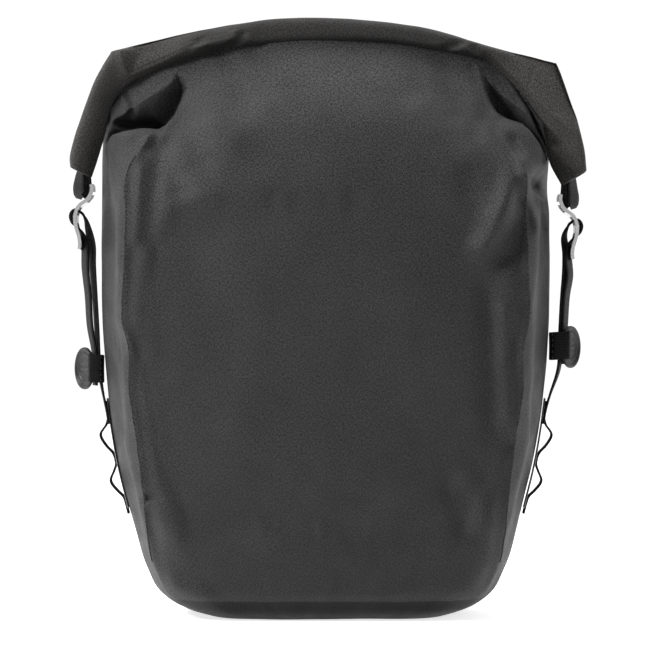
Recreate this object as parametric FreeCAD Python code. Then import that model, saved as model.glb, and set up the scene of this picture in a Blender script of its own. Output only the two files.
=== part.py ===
import FreeCAD, Part
import math
import os

from FreeCAD import Vector

# Roll-top pannier bag in millimetres. X runs across the bag, -Y is the front, +Z is up.
# The origin is the middle of the flat base that the bag stands on.

# ---- driving dimensions ----------------------------------------------------------------
FABRIC = 2.0                    # wall of the laminated bag fabric
BASE_HEIGHT = 8.0               # the base panel turns up this far to its seam
BACK_Y = 78.0                   # flat back face of the bag
# height, half width, front and back face at the corners, outward bow of the front and back
BODY_SECTIONS = [
    (0.0, 88.0, -46.0, 56.0, 4.0, 2.0),
    (4.0, 101.0, -55.0, 65.0, 4.0, 2.0),
    (14.0, 115.0, -64.0, 74.0, 4.0, 0.0),
    (32.0, 126.0, -70.0, BACK_Y, 4.0, 0.0),
    (62.0, 135.0, -74.0, BACK_Y, 4.0, 0.0),
    (110.0, 147.0, -77.0, BACK_Y, 4.5, 0.0),
    (180.0, 155.5, -79.0, BACK_Y, 5.0, 0.0),
    (250.0, 157.5, -78.0, BACK_Y, 5.0, 0.0),
    (300.0, 155.0, -70.0, BACK_Y, 9.0, 0.0),
    (325.0, 152.0, -58.0, 71.0, 14.0, 4.0),
    (348.0, 147.0, -36.0, 46.0, 22.0, 16.0),
    (368.0, 141.0, -13.0, 17.0, 26.0, 26.0),
    (386.0, 137.0, -8.0, 12.0, 12.0, 12.0),
    (402.0, 134.0, -7.0, 11.0, 1.0, 1.0),
]
FRONT_CORNER_R = 34.0
BACK_CORNER_R = 20.0
# front seams, from the base seam up to the roll
FRONT_SEAM = [(98, BASE_HEIGHT), (112, 20), (119, 38), (123, 66), (128, 115), (136, 170), (138.5, 215),
              (136.5, 277), (128, 318), (113, 350), (103, 375), (101, 404)]
BACK_SEAM = [(100, BASE_HEIGHT), (113, 20), (122, 38), (130, 66), (138, 110), (142, 160), (143, 240),
             (142, 310), (134, 345), (124, 375), (118, 404)]

ROLL_Y = 2.0                    # mid depth of the rolled closure
ROLL_THICKNESS = 16.0
# edges of the roll seen from the front, as (x, z): two arches and two hanging ends
ROLL_TOP = [(-155, 398.5), (0, 424), (159, 392.5)]
ROLL_LOW = [(140, 367), (0, 399), (-138, 372)]
ROLL_RIGHT_OUTER = [(159, 392.5), (175, 350), (182, 311)]
ROLL_RIGHT_INNER = [(168, 303), (160, 330), (140, 367)]
ROLL_LEFT_INNER = [(-138, 372), (-156, 345), (-167, 309)]
ROLL_LEFT_OUTER = [(-181, 317), (-170, 358), (-155, 398.5)]
NECK_GAP = 0.3                  # between the roll's lower arch and the wall under it
LATH = (16.0, 1.6)              # height and thickness of the lath inside the roll
LATH_ARCH = [(-140, 390), (0, 412), (142, 386)]

WEBBING = 1.6                   # thickness of the straps
WEBBING_W = 20.0
SIDES = {"left": -1.0, "right": 1.0}
HOOK_DROP = {"left": 0.0, "right": -7.0}      # how much lower each closure hook hangs
STRAP_OUT = {"left": 0.0, "right": 1.5}       # how much further out each strap runs
STRAP_TWIST = 6.0               # the straps turn their faces this far towards the front
STRAP_ROOT = 6.2                # the strap's sewn end stands this far off the gusset
TAIL_OFF = 2.6                  # from the strap to its loose tail inside the keeper
KEEPER_Z = {"left": 173.0, "right": 188.0}
KEEPER_OVAL = (15.0, 12.5, 3.4)     # half height, half width and thickness of the keeper's plate
KEEPER_RIM = (2.4, 1.2)         # width and height of its rim
KEEPER_RIB = (17.0, 0.9)        # length and width of the ribs on it
KEEPER_RIB_PITCH = 2.5
SLEEVE_IN = (-1.4, 4.4, 11.2)   # inner faces of the keeper's sleeve, and its half width
SLEEVE_WALL = (1.0, 1.2)        # its fabric towards X and towards Y
SLEEVE_HALF = 9.5               # half its height
HOOK_PLATE = 2.4                # closure hook plate
HOOK_PLATE_W = 26.0
HOOK_SIDE_VIEW = [(164.6, 302), (164.8, 295.5), (167.6, 291.2), (173.0, 287), (175.6, 281),
                  (175.8, 275.5), (173.6, 267), (173.0, 256.5)]
HOOK_SLOT_ROOM = 0.8            # from the webbing's edge to the end of its slot
LOOP_SLOT = (289.6, 297.2)      # heights of the slots in the hook plate
LOOP_GATE = (295.2, 297.2)      # the gap at one side where the loop slips in
STRAP_SLOTS = [(280.6, 286.4), (267.0, 275.2)]
EYE_Z = 250.0                   # the strap above this height belongs to the hook's eye
DAISY_TACKS = [(146, 138), (113, 107), (81, 70)]
DAISY_LOOP = [(0.14, 2.9), (0.36, 6.6), (0.6, 8.2), (0.83, 6.2)]    # way down each loop, stand-off
STRIP = 0.4                     # reflective strip under the daisy chain
STRIP_OFF = 0.7                 # room between the gusset and the strip
SEWN_ROOM = 0.7                 # room between the strip and the daisy chain
STRIP_Z = (84, 102, 122, 142, 160)

RAIL_Z = 290.0                  # top rail, middle height
RAIL_LENGTH = 280.0
LOWER_RAIL_Z = 112.0
LOWER_RAIL_LENGTH = 170.0
RAIL_WEB = (14.0, 6.0)          # height and depth of the rail's foot
RAIL_FLANGE = (24.0, 3.0)
RAIL_HOLES = (-108, -44, 44, 108)
LOWER_RAIL_HOLES = (-70, 70)
RAIL_SCREW_R = 2.5
SCREW_CONE = 2.2                # countersunk head's radius as a multiple of the screw's
SCREW_HEAD = 3.0                # height of that head
HEX_SOCKET = 2.4
WASHER = (7.0, 1.0)             # radius and thickness
NUT = (4.6, 4.0)
END_CAP = (5.0, 26.0)           # thickness and height of the rail's end caps
GAP = 0.3                       # running gap between a slider and its rail
PLATE_Y = (72.6, 75.6)          # stiffening plate inside the back
PLATE_X = 116.0
PLATE_Z = (60.0, 300.0)
PLATE_CORNER_R = 18.0
RACK_HOOK_X = 96.0
RACK_HOOK_W = 28.0
RACK_HOOK_WALL = 4.5            # material round the tube seat
RACK_HOOK_CLAMP = (14.5, 15.5)  # the clamp block above and below the rail's middle
CLAMP_SCREW_R = 2.0
CLAMP_HEAD = (4.2, 3.0)         # radius and height of the clamp screw's head
CLAMP_LIP = 3.0                 # how far a clamp reaches behind the rail's head
CLAMP_FACE = 5.0                # its material in front of the rail's head
TUBE_Y, TUBE_Z = 101.0, 328.0   # rack tube seen from the side
TUBE_SEAT_R = 8.0               # bare seat, for 16 mm tubes
TUBE_R = 5.0                    # with the insert, for 10 mm tubes
LATCH_PIVOT = (90.0, 312.0)
LATCH_W = 16.0
LATCH_ROOM = 0.8                # between the latch and each cheek of its hook
LATCH_PIN_R = 2.0
LATCH_BORE_R = 2.05
LATCH_BAR = (-8.2, -1.0)        # the pull bar, measured from the pivot
LATCH_BAR_R = 1.4
LATCH_EAR = 2.4
LATCH_NOSE = [(-2, -3), (4, -3.4), (16, 0.5), (18.6, 4.5), (17.5, 7), (11, 5.6), (3, 3.5), (-2, 3)]
LATCH_ARM = [(-9.6, -2.6), (-2, -3), (-2, 2.6), (-9.6, 0.6)]
PIN_HEAD = (3.2, 1.2)           # radius and thickness of the latch pin's heads
SPRING = (3.1, 6.0)             # outer radius and length of the latch's torsion spring
SPRING_ROOM = (3.7, 6.8)
TAB_HALF = 4.6                  # half width of the pull tab's webbing
TAB_WALL = 1.0
TAB_GRIP = (356.0, 378.0)       # heights of its finger loop
TAB_WINDOW = (359.5, 374.5)
STRUT_R = 8.0                   # seat of the lower anchor hook
STRUT_Y = 100.0
ANCHOR_HALF = 17.0              # half width of the slider
ANCHOR_BLOCK = 15.5             # and its half height
ANCHOR_POST_R = 3.95
ANCHOR_BORE_R = 4.0
ANCHOR_HUB = (11.0, 92.4, 98.4)     # radius, and where the hub begins and ends along Y
ANCHOR_JAW_X = 25.0
ANCHOR_JAW_TALL = 16.0
ANCHOR_JAW_WALL = 4.0
HANDLE_PIVOT = (98.0, 307.0)
HANDLE_HALF = 50.0
HANDLE_DROP = 44.0              # from the pivot down to the grip
HANDLE_STRAP = (3.6, 18.0)      # thickness and width of the handle's doubled webbing
HANDLE_PIN_R = 2.5
GRIP_HALF = (24.0, 10.0, 4.6)
GRIP_ROUND = 3.4


# ---- helpers ---------------------------------------------------------------------------
def box(x0, x1, y0, y1, z0, z1):
    return Part.makeBox(x1 - x0, y1 - y0, z1 - z0, Vector(x0, y0, z0))


def rod(radius, start, end):
    start, end = Vector(*start), Vector(*end)
    return Part.makeCylinder(radius, (end - start).Length, start, end - start)


def fuse(first, *others):
    return first.fuse(list(others)).removeSplitter()


def group(shapes):
    return Part.makeCompound(list(shapes))


def prism_xz(edges, y0, y1):
    """A solid whose outline lies in XZ, from y0 to y1."""
    face = Part.Face(Part.Wire(edges))
    face.translate(Vector(0, y0, 0))
    return face.extrude(Vector(0, y1 - y0, 0))


def outline_yz(points, x0, x1):
    """A solid whose straight-sided outline of (y, z) points runs from x0 to x1."""
    loop = [Vector(x0, y, z) for y, z in points]
    face = Part.Face(Part.makePolygon(loop + loop[:1]))
    return face.extrude(Vector(x1 - x0, 0, 0))


def everything(y0, y1, z0=-1.0, z1=450.0):
    """A block wider than the bag, to keep or cut off a slice of it."""
    return box(-200, 200, y0, y1, z0, z1)


def side_edges(points):
    """One smooth edge through (x, z) points, or a line through two."""
    spots = [Vector(x, 0, z) for x, z in points]
    if len(spots) == 2:
        return Part.makeLine(*spots)
    curve = Part.BSplineCurve()
    curve.interpolate(spots)
    return curve.toShape()


def ribbon(points, thickness, width, steps=40, twist=0.0):
    """A flat strap whose middle follows a smooth curve through (x, z) points."""
    curve = Part.BSplineCurve()
    curve.interpolate([Vector(x, 0, z) for x, z in points])
    first, last = curve.FirstParameter, curve.LastParameter
    sides = ([], [])
    for i in range(steps + 1):
        at = first + (last - first) * i / steps
        along = curve.tangent(at)[0]
        across = Vector(-along.z, 0, along.x) * (thickness / 2)
        sides[0].append(curve.value(at) + across)
        sides[1].append(curve.value(at) - across)
    outer, inner = Part.BSplineCurve(), Part.BSplineCurve()
    outer.interpolate(sides[0])
    inner.interpolate(sides[1][::-1])
    ends = [Part.makeLine(sides[0][-1], sides[1][-1]), Part.makeLine(sides[1][0], sides[0][0])]
    face = Part.Face(Part.Wire([outer.toShape(), ends[0], inner.toShape(), ends[1]]))
    reach = Vector(math.sin(math.radians(twist)), math.cos(math.radians(twist)), 0) * width
    face.translate(reach * -0.5)
    return face.extrude(reach)


def to_side(shape, sign):
    """Parts are drawn on the right; the left ones are their mirror images."""
    return shape if sign > 0 else shape.mirror(Vector(0, 0, 0), Vector(1, 0, 0))


# ---- bag -------------------------------------------------------------------------------
def section_wire(z, half, front, back, front_bow, back_bow, inset=0.0):
    """Outline of the bag at one height, drawn in by inset: bowed faces and rounded corners."""
    a, yf, yb = half - inset, front + inset, back - inset
    depth = yb - yf
    rf = min(FRONT_CORNER_R - inset, 0.42 * depth)
    rb = min(BACK_CORNER_R - inset, 0.3 * depth)
    wf, wb = a - 0.05 * depth, a - 0.03 * depth
    cut = 1 - math.sqrt(0.5)
    mid_y = (yf + rf + yb - rb) / 2
    half_loop = [(wb - rb, yb), (wb - rb * cut, yb - rb * cut), (wb, yb - rb), (a, mid_y), (wf, yf + rf),
                 (wf - rf * cut, yf + rf * cut), (wf - rf, yf)]
    right = [Vector(x, y, z) for x, y in half_loop]
    left = [Vector(-x, y, z) for x, y in half_loop[::-1]]
    front_mid, back_mid = Vector(0, yf - front_bow, z), Vector(0, yb + back_bow, z)
    arcs = [right[0:3], right[2:5], right[4:7], [right[6], front_mid, left[0]],
            left[0:3], left[2:5], left[4:7]]
    edges = [Part.Arc(*three).toShape() for three in arcs]
    if back_bow:
        edges.append(Part.Arc(left[6], back_mid, right[0]).toShape())
    else:
        edges.append(Part.makeLine(left[6], right[0]))
    return Part.Wire(edges)


def bag_walls(under_roll):
    """The bag's wall as one hollow shell, open at the neck, cut off under the roll."""
    outer = Part.makeLoft([section_wire(*s) for s in BODY_SECTIONS], True, False)
    outer = outer.common(everything(-120, BACK_Y))
    inner_sections = [(max(s[0], FABRIC), *s[1:]) for s in BODY_SECTIONS]
    inner = Part.makeLoft([section_wire(*s, inset=FABRIC) for s in inner_sections], True, False)
    inner = inner.common(everything(-120, BACK_Y - FABRIC))
    return outer.cut(inner).common(under_roll)


def half_width(z):
    """Half width of the bag at one height, along a smooth line through the sections."""
    curve = Part.BSplineCurve()
    curve.interpolate([Vector(s[1], 0, s[0]) for s in BODY_SECTIONS])
    level = Part.makeLine(Vector(0, 0, z), Vector(300, 0, z))
    return curve.intersectCC(level.Curve)[0].X


def panel_region(seam, y0, y1):
    """The share of the wall between a seam on the right and its mirror image on the left."""
    right = side_edges(seam)
    left = side_edges([(-x, z) for x, z in seam[::-1]])
    (x_low, z_low), (x_top, z_top) = seam[0], seam[-1]
    top = side_edges([(x_top, z_top), (-x_top, z_top)])
    low = side_edges([(-x_low, z_low), (x_low, z_low)])
    return prism_xz([right, top, left, low], y0, y1)


# ---- rolled closure --------------------------------------------------------------------
def arc_edge(points):
    return Part.Arc(*[Vector(x, 0, z) for x, z in points]).toShape()


def roll_outline():
    """Edges of the roll seen from the front: an arch whose two ends hang down at the sides."""
    right_end = side_edges([ROLL_RIGHT_OUTER[-1], ROLL_RIGHT_INNER[0]])
    left_end = side_edges([ROLL_LEFT_INNER[-1], ROLL_LEFT_OUTER[0]])
    return [arc_edge(ROLL_TOP), side_edges(ROLL_RIGHT_OUTER), right_end, side_edges(ROLL_RIGHT_INNER),
            arc_edge(ROLL_LOW), side_edges(ROLL_LEFT_INNER), left_end, side_edges(ROLL_LEFT_OUTER)]


def roll_and_stiffener():
    half = ROLL_THICKNESS / 2
    roll = prism_xz(roll_outline(), ROLL_Y - half, ROLL_Y + half)
    lath = ribbon(LATH_ARCH, *LATH)
    lath.translate(Vector(0, ROLL_Y, 0))
    return roll.cut(lath), lath


def region_under_roll():
    """Everything below the roll's lower arch, to trim the neck."""
    arch = [(x, z - NECK_GAP) for x, z in ROLL_LOW]
    corners = [arch[-1], (-157, 330), (-166, 300), (-190, 290), (-190, -5), (190, -5),
               (190, 290), (166, 300), (158, 330), arch[0]]
    lines = [side_edges([p, q]) for p, q in zip(corners, corners[1:])]
    return prism_xz([arc_edge(arch)] + lines, -120, 120)


# ---- side straps -----------------------------------------------------------------------
def closure_hook(sign, drop):
    """Stamped hook plate: a gapped slot for the closure loop, then two slots with a bar for the strap."""
    plate = ribbon([(x, z + drop) for x, z in HOOK_SIDE_VIEW], HOOK_PLATE, HOOK_PLATE_W)
    slot, rim = WEBBING_W / 2 + HOOK_SLOT_ROOM, HOOK_PLATE_W / 2 + 1
    windows = [(slot, *LOOP_SLOT), (rim, *LOOP_GATE)] + [(slot, *heights) for heights in STRAP_SLOTS]
    cuts = [box(150, 190, -slot, far, low + drop, high + drop) for far, low, high in windows]
    return to_side(plate.cut(group(cuts)), sign)


def closure_loop(sign, drop):
    """Webbing loop sewn into the end of the roll; the hook's top bar sits in it."""
    root = 308.4 + 0.86 * drop
    loop = [(168.2, root), (162.0, 302 + drop), (161.0, 296 + drop), (165.6, 291.8 + drop),
            (170.4, 295.6 + drop), (171.6, 302 + drop), (172.2, root + 2)]
    return to_side(ribbon(loop, WEBBING, WEBBING_W), sign)


def strap_x(side, z):
    """Distance of the strap from mid plane at height z, along its straight stretch."""
    return 160.4 + STRAP_OUT[side] + 0.045 * (z - 150)


def strap_eye(side):
    """The webbing's turn through the hook's two slots."""
    drop = HOOK_DROP[side]
    top = strap_x(side, EYE_Z)
    turn = [(top, EYE_Z), (top + 0.8, 262), (169.4, 277), (172.4, 282.8), (176.6, 284.6),
            (179.4, 281), (178.6, 276), (175.2, 272.4), (171.6, 268.2), (170.2, 260), (169.4, EYE_Z)]
    return to_side(ribbon([(x, z + drop) for x, z in turn], WEBBING, WEBBING_W, steps=120), SIDES[side])


def side_strap(side):
    """The load-bearing ply, from the hook's eye down to its tack above the daisy chain."""
    points = [(half_width(z) + STRAP_ROOT, z) for z in (139, 147)]
    points += [(strap_x(side, z), z) for z in (159, 166, 180, 200, 225)]
    points.append((strap_x(side, EYE_Z), EYE_Z - 1 + HOOK_DROP[side]))
    return to_side(ribbon(points, WEBBING, WEBBING_W, twist=STRAP_TWIST), SIDES[side])


def strap_tail(side):
    """The loose end of the same webbing, hanging outside the strap and tucked into the keeper."""
    keeper = KEEPER_Z[side]
    points = [(strap_x(side, EYE_Z) + 4.0, EYE_Z - 1 + HOOK_DROP[side]), (strap_x(side, 232) + 4.6, 230),
              (strap_x(side, 205) + 3.0, keeper + 28), (strap_x(side, 180) + TAIL_OFF, keeper + 8),
              (strap_x(side, 170) + TAIL_OFF, keeper - 12)]
    return to_side(ribbon(points, WEBBING, WEBBING_W, twist=STRAP_TWIST), SIDES[side])


def oval(half_length, half_breadth):
    return Part.Face(Part.Wire(Part.Ellipse(Vector(0, 0, 0), half_length, half_breadth).toShape()))


def keeper(side):
    """Oval moulded face plate and, behind it, the sleeve both plies of the strap pass through."""
    z, x = KEEPER_Z[side], strap_x(side, KEEPER_Z[side])
    near, far, half = SLEEVE_IN
    wall_x, wall_y = SLEEVE_WALL
    out_y = half + wall_y
    sleeve = box(x + near - wall_x, x + far + wall_x, -out_y, out_y, z - SLEEVE_HALF, z + SLEEVE_HALF)
    sleeve = sleeve.cut(box(x + near, x + far, -half, half, z - 10, z + 10))
    tall, wide, thick = KEEPER_OVAL
    rim_width, rim_height = KEEPER_RIM
    length, width = KEEPER_RIB
    field_level = Vector(0, 0, thick - rim_height)
    disc = oval(tall, wide).extrude(Vector(0, 0, thick))
    field = oval(tall - rim_width, wide - rim_width).extrude(Vector(0, 0, rim_height))
    disc = disc.cut(field.translate(field_level))
    corners = [Vector(-length / 2, i * KEEPER_RIB_PITCH - width / 2, field_level.z) for i in range(-2, 3)]
    disc = disc.fuse([Part.makeBox(length, width, width, corner) for corner in corners])
    disc.rotate(Vector(0, 0, 0), Vector(0, 1, 0), 90)
    disc.translate(Vector(x + far + wall_x + GAP, 0, z))
    for piece in (sleeve, disc):
        piece.rotate(Vector(x, 0, z), Vector(0, 0, 1), -STRAP_TWIST)
    return to_side(disc, SIDES[side]), to_side(sleeve, SIDES[side])


def daisy_chain(side):
    """Webbing sewn down the gusset at tacks, with open loops between them."""
    close = WEBBING / 2 + STRIP_OFF + STRIP + SEWN_ROOM
    path = []
    for i, (top, low) in enumerate(DAISY_TACKS):
        path += [(half_width(top) + close, top), (half_width(low) + close, low)]
        if i + 1 < len(DAISY_TACKS):
            drop = low - DAISY_TACKS[i + 1][0]
            path += [(half_width(low - way * drop) + off, low - way * drop) for way, off in DAISY_LOOP]
    return to_side(ribbon(path, WEBBING, WEBBING_W, steps=90), SIDES[side])


def reflective_strip(side):
    """Thin bright strip sewn to the gusset under the daisy chain."""
    line = [(half_width(z) + STRIP_OFF + STRIP / 2, z) for z in STRIP_Z]
    return to_side(ribbon(line, STRIP, WEBBING_W + 4), SIDES[side])


# ---- back hardware ---------------------------------------------------------------------
def rail_profile(length, z, holes):
    """T rail: the foot lies on the bag and the head stands off it, drilled for countersunk screws."""
    y0 = BACK_Y + GAP
    y1, y2 = BACK_Y + RAIL_WEB[1], BACK_Y + RAIL_WEB[1] + RAIL_FLANGE[1]
    rail = fuse(
        box(-length / 2, length / 2, y0, y1, z - RAIL_WEB[0] / 2, z + RAIL_WEB[0] / 2),
        box(-length / 2, length / 2, y1, y2, z - RAIL_FLANGE[0] / 2, z + RAIL_FLANGE[0] / 2),
    )
    for x in holes:
        seat = Vector(x, y2 - SCREW_HEAD, z)
        rail = rail.cut(rod(RAIL_SCREW_R + 0.1, (x, y0 - 1, z), (x, y2 + 1, z)))
        wide = SCREW_CONE * RAIL_SCREW_R
        rail = rail.cut(Part.makeCone(RAIL_SCREW_R, wide, SCREW_HEAD, seat, Vector(0, 1, 0)))
    return rail


def rail_screws(z, holes):
    """Countersunk screws with washers and nuts inside the bag."""
    head_y = BACK_Y + RAIL_WEB[1] + RAIL_FLANGE[1]
    inside_y = PLATE_Y[0]
    washer_r, washer_thick = WASHER
    nut_r, nut_thick = NUT
    nut_y = inside_y - washer_thick
    screws, nuts = [], []
    for x in holes:
        seat = Vector(x, head_y - SCREW_HEAD, z)
        wide = SCREW_CONE * RAIL_SCREW_R - 0.4
        cone = Part.makeCone(RAIL_SCREW_R, wide, SCREW_HEAD - 0.2, seat, Vector(0, 1, 0))
        corner = Vector(x - HEX_SOCKET / 2, head_y - 1.8, z - HEX_SOCKET / 2)
        shank = rod(RAIL_SCREW_R, (x, inside_y - 6, z), (x, head_y - 2.9, z))
        screws.append(shank.fuse(cone).cut(Part.makeBox(HEX_SOCKET, 2, HEX_SOCKET, corner)))
        washer = rod(washer_r, (x, nut_y, z), (x, inside_y, z))
        nut = rod(nut_r, (x, nut_y - nut_thick, z), (x, nut_y, z))
        nuts.append(washer.fuse(nut).cut(rod(RAIL_SCREW_R, (x, 60, z), (x, 80, z))))
    return group(screws), group(nuts)


def rail_clamp(x, half, z, top, low):
    """Block that runs on a T rail: it wraps the head and leaves the foot free."""
    y_head = BACK_Y + RAIL_WEB[1]
    y_out = y_head + RAIL_FLANGE[1]
    flange = RAIL_FLANGE[0] / 2
    foot_half = RAIL_WEB[0] / 2 + GAP
    block = box(x - half, x + half, y_head - CLAMP_LIP, y_out + CLAMP_FACE, z - low, z + top)
    head = box(x - half - 1, x + half + 1, y_head - GAP, y_out + GAP, z - flange - GAP, z + flange + GAP)
    foot = box(x - half - 1, x + half + 1, y_head - CLAMP_LIP - 1, y_head, z - foot_half, z + foot_half)
    return block.cut(head).cut(foot)


def arc_solid(x0, x1, y, z, r_in, r_out, from_deg, to_deg):
    """Part of a ring about the X axis, angles from +Y towards +Z."""
    ring = rod(r_out, (x0, y, z), (x1, y, z)).cut(rod(r_in, (x0 - 1, y, z), (x1 + 1, y, z)))
    reach = 4 * r_out
    steps = [math.radians(from_deg + (to_deg - from_deg) * i / 6) for i in range(7)]
    fan = [(y, z)] + [(y + reach * math.cos(a), z + reach * math.sin(a)) for a in steps]
    return ring.common(outline_yz(fan, x0, x1))


def rack_hook(sign):
    """Hook over the rack tube, with two cheeks that carry the latch and a clamp on the rail."""
    x0, x1 = RACK_HOOK_X - RACK_HOOK_W / 2, RACK_HOOK_X + RACK_HOOK_W / 2
    cheek = (RACK_HOOK_W - LATCH_W) / 2 - LATCH_ROOM
    py, pz = LATCH_PIVOT
    shell = TUBE_SEAT_R + RACK_HOOK_WALL
    clamp = rail_clamp(RACK_HOOK_X, RACK_HOOK_W / 2, RAIL_Z, *RACK_HOOK_CLAMP)
    arch = arc_solid(x0, x1, TUBE_Y, TUBE_Z, TUBE_SEAT_R, shell, -25, 180)
    wall = box(x0, x1, TUBE_Y - shell, TUBE_Y - TUBE_SEAT_R, TUBE_Z - 8, TUBE_Z + 0.1)
    side = [(82.0, 303.5), (py + 4.5, 303.5), (py + 4.5, TUBE_Z), (py - 1.5, TUBE_Z + 6),
            (py - 4.5, TUBE_Z + 4), (82.0, pz + 6)]
    cheeks = [outline_yz(side, x0, x0 + cheek), outline_yz(side, x1 - cheek, x1)]
    hook = fuse(clamp, arch, wall, *cheeks)
    pivot = rod(LATCH_PIN_R, (x0 - 1, *LATCH_PIVOT), (x1 + 1, *LATCH_PIVOT))
    throat = rod(TUBE_SEAT_R, (x0 - 1, TUBE_Y, TUBE_Z), (x1 + 1, TUBE_Y, TUBE_Z))
    screw = rod(CLAMP_SCREW_R, (RACK_HOOK_X, 87.3, RAIL_Z), (RACK_HOOK_X, 95, RAIL_Z))
    return to_side(hook.cut([pivot, screw, throat]), sign)


def hook_insert(sign):
    """Plastic liner that brings the hook's seat down to a thinner tube."""
    x0, x1 = RACK_HOOK_X - RACK_HOOK_W / 2, RACK_HOOK_X + RACK_HOOK_W / 2
    return to_side(arc_solid(x0, x1, TUBE_Y, TUBE_Z, TUBE_R, TUBE_SEAT_R, -20, 200), sign)


def clamp_screw(sign):
    """Socket screw that fixes the hook on its rail."""
    x, y = RACK_HOOK_X, BACK_Y + RAIL_WEB[1] + RAIL_FLANGE[1]
    head_r, head_tall = CLAMP_HEAD
    head_y = y + CLAMP_FACE
    shank = rod(CLAMP_SCREW_R, (x, y + GAP, RAIL_Z), (x, head_y, RAIL_Z))
    screw = shank.fuse(rod(head_r, (x, head_y, RAIL_Z), (x, head_y + head_tall, RAIL_Z)))
    socket = Part.makeBox(3, 2, 3, Vector(x - 1.5, head_y + 1.2, RAIL_Z - 1.5))
    return to_side(screw.cut(socket), sign)


def latch(sign):
    """Lever under the tube: its nose closes the hook's mouth, and its bar takes the pull tab."""
    x0, x1 = RACK_HOOK_X - LATCH_W / 2, RACK_HOOK_X + LATCH_W / 2
    py, pz = LATCH_PIVOT
    bar = (py + LATCH_BAR[0], pz + LATCH_BAR[1])
    body = outline_yz([(py + y, pz + z) for y, z in LATCH_NOSE], x0, x1)
    arm = [(py + y, pz + z) for y, z in LATCH_ARM]
    ears = [outline_yz(arm, a, a + LATCH_EAR) for a in (x0, x1 - LATCH_EAR)]
    lever = fuse(body, rod(LATCH_BAR_R, (x0, *bar), (x1, *bar)), *ears)
    room_r, room_long = SPRING_ROOM
    spring_room = rod(room_r, (RACK_HOOK_X - room_long / 2, py, pz), (RACK_HOOK_X + room_long / 2, py, pz))
    bore = rod(LATCH_BORE_R, (x0 - 1, py, pz), (x1 + 1, py, pz))
    return to_side(lever.cut([bore, spring_room]), sign)


def latch_pin(sign):
    """Pin through both cheeks and the latch, with a flat head at each end."""
    reach = RACK_HOOK_W / 2 + 0.4
    head_r, head_thick = PIN_HEAD
    pin = rod(LATCH_PIN_R, (RACK_HOOK_X - reach, *LATCH_PIVOT), (RACK_HOOK_X + reach, *LATCH_PIVOT))
    heads = []
    for x in (RACK_HOOK_X - reach - head_thick, RACK_HOOK_X + reach):
        heads.append(rod(head_r, (x, *LATCH_PIVOT), (x + head_thick, *LATCH_PIVOT)))
    return to_side(fuse(pin, *heads), sign)


def latch_spring(sign):
    """Torsion spring on the latch pin, as its outer form."""
    radius, length = SPRING
    ends = [(RACK_HOOK_X + side * length / 2, *LATCH_PIVOT) for side in (-1, 1)]
    bore = [(RACK_HOOK_X + side * (length / 2 + 1), *LATCH_PIVOT) for side in (-1, 1)]
    return to_side(rod(radius, *ends).cut(rod(LATCH_BORE_R, *bore)), sign)


def pull_tab(sign):
    """Webbing tab behind the hook: a loop round the latch's bar below and a finger loop on top."""
    y, z = LATCH_PIVOT[0] + LATCH_BAR[0], LATCH_PIVOT[1] + LATCH_BAR[1]
    x0, x1 = RACK_HOOK_X - TAB_HALF, RACK_HOOK_X + TAB_HALF
    wall = TAB_WALL
    front, rear, low, top = y - 2.6, y + 4.2, z - 3.4, z + 6.0
    eye = box(x0, x1, front, rear, low, top)
    eye = eye.cut(box(x0 - 1, x1 + 1, front + wall, rear - wall, low + wall, top - wall))
    tail = box(x0, x1, y - 2.2, y - 0.4, top, TAB_GRIP[0])
    grip = box(x0 - 4, x1 + 4, y - 3.0, y + 1.0, *TAB_GRIP)
    grip = grip.cut(box(x0 - 1, x1 + 1, y - 4, y + 2, *TAB_WINDOW))
    return to_side(fuse(eye, tail, grip), sign)


def end_caps():
    """Plugs on both ends of the top rail."""
    thick, tall = END_CAP
    y0, y1 = BACK_Y + GAP, BACK_Y + RAIL_WEB[1] + RAIL_FLANGE[1] + 1
    caps = []
    for sign in SIDES.values():
        x = sign * (RAIL_LENGTH + thick) / 2
        caps.append(box(x - thick / 2, x + thick / 2, y0, y1, RAIL_Z - tall / 2, RAIL_Z + tall / 2))
    return group(caps)


def handle():
    """Carry handle: a webbing bow hanging from two pins, and the sewn grip round its middle."""
    py, pz = HANDLE_PIVOT
    low = pz - HANDLE_DROP
    right = [(30, low + 3.5), (45, pz - 29), (HANDLE_HALF, pz - 12), (HANDLE_HALF, pz + 5)]
    path = [(-x, z) for x, z in right[::-1]] + [(-15, low), (15, low)] + right
    strap = ribbon(path, *HANDLE_STRAP, steps=80)
    strap.translate(Vector(0, py, 0))
    strap = strap.cut(rod(HANDLE_PIN_R + 0.1, (-HANDLE_HALF - 4, py, pz), (HANDLE_HALF + 4, py, pz)))
    x, y, z = GRIP_HALF
    grip = box(-x, x, py - y, py + y, low - z, low + z)
    grip = grip.makeFillet(GRIP_ROUND, [e for e in grip.Edges if abs(e.tangentAt(0).x) > 0.9])
    return strap.cut(grip), grip


def handle_lugs():
    """Lugs on the rail's head, each with its pin."""
    py, pz = HANDLE_PIVOT
    lugs, pins = [], []
    for sign in SIDES.values():
        x0 = HANDLE_HALF + 3.4
        lug = box(x0, x0 + 5, BACK_Y + 9, py + 5, pz - 6, pz + 5)
        foot = box(x0, x0 + 5, BACK_Y + 9, BACK_Y + 13, RAIL_Z - 10, pz - 5.9)
        lug = fuse(lug, foot)
        lug = lug.cut(rod(HANDLE_PIN_R + 0.05, (x0 - 1, py, pz), (x0 + 9, py, pz)))
        pin = rod(HANDLE_PIN_R, (HANDLE_HALF - 3.4, py, pz), (x0 + 5, py, pz))
        head = rod(4.0, (HANDLE_HALF - 5, py, pz), (HANDLE_HALF - 3.4, py, pz))
        lugs.append(to_side(lug, sign))
        pins.append(to_side(pin.fuse(head), sign))
    return group(lugs), group(pins)


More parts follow.
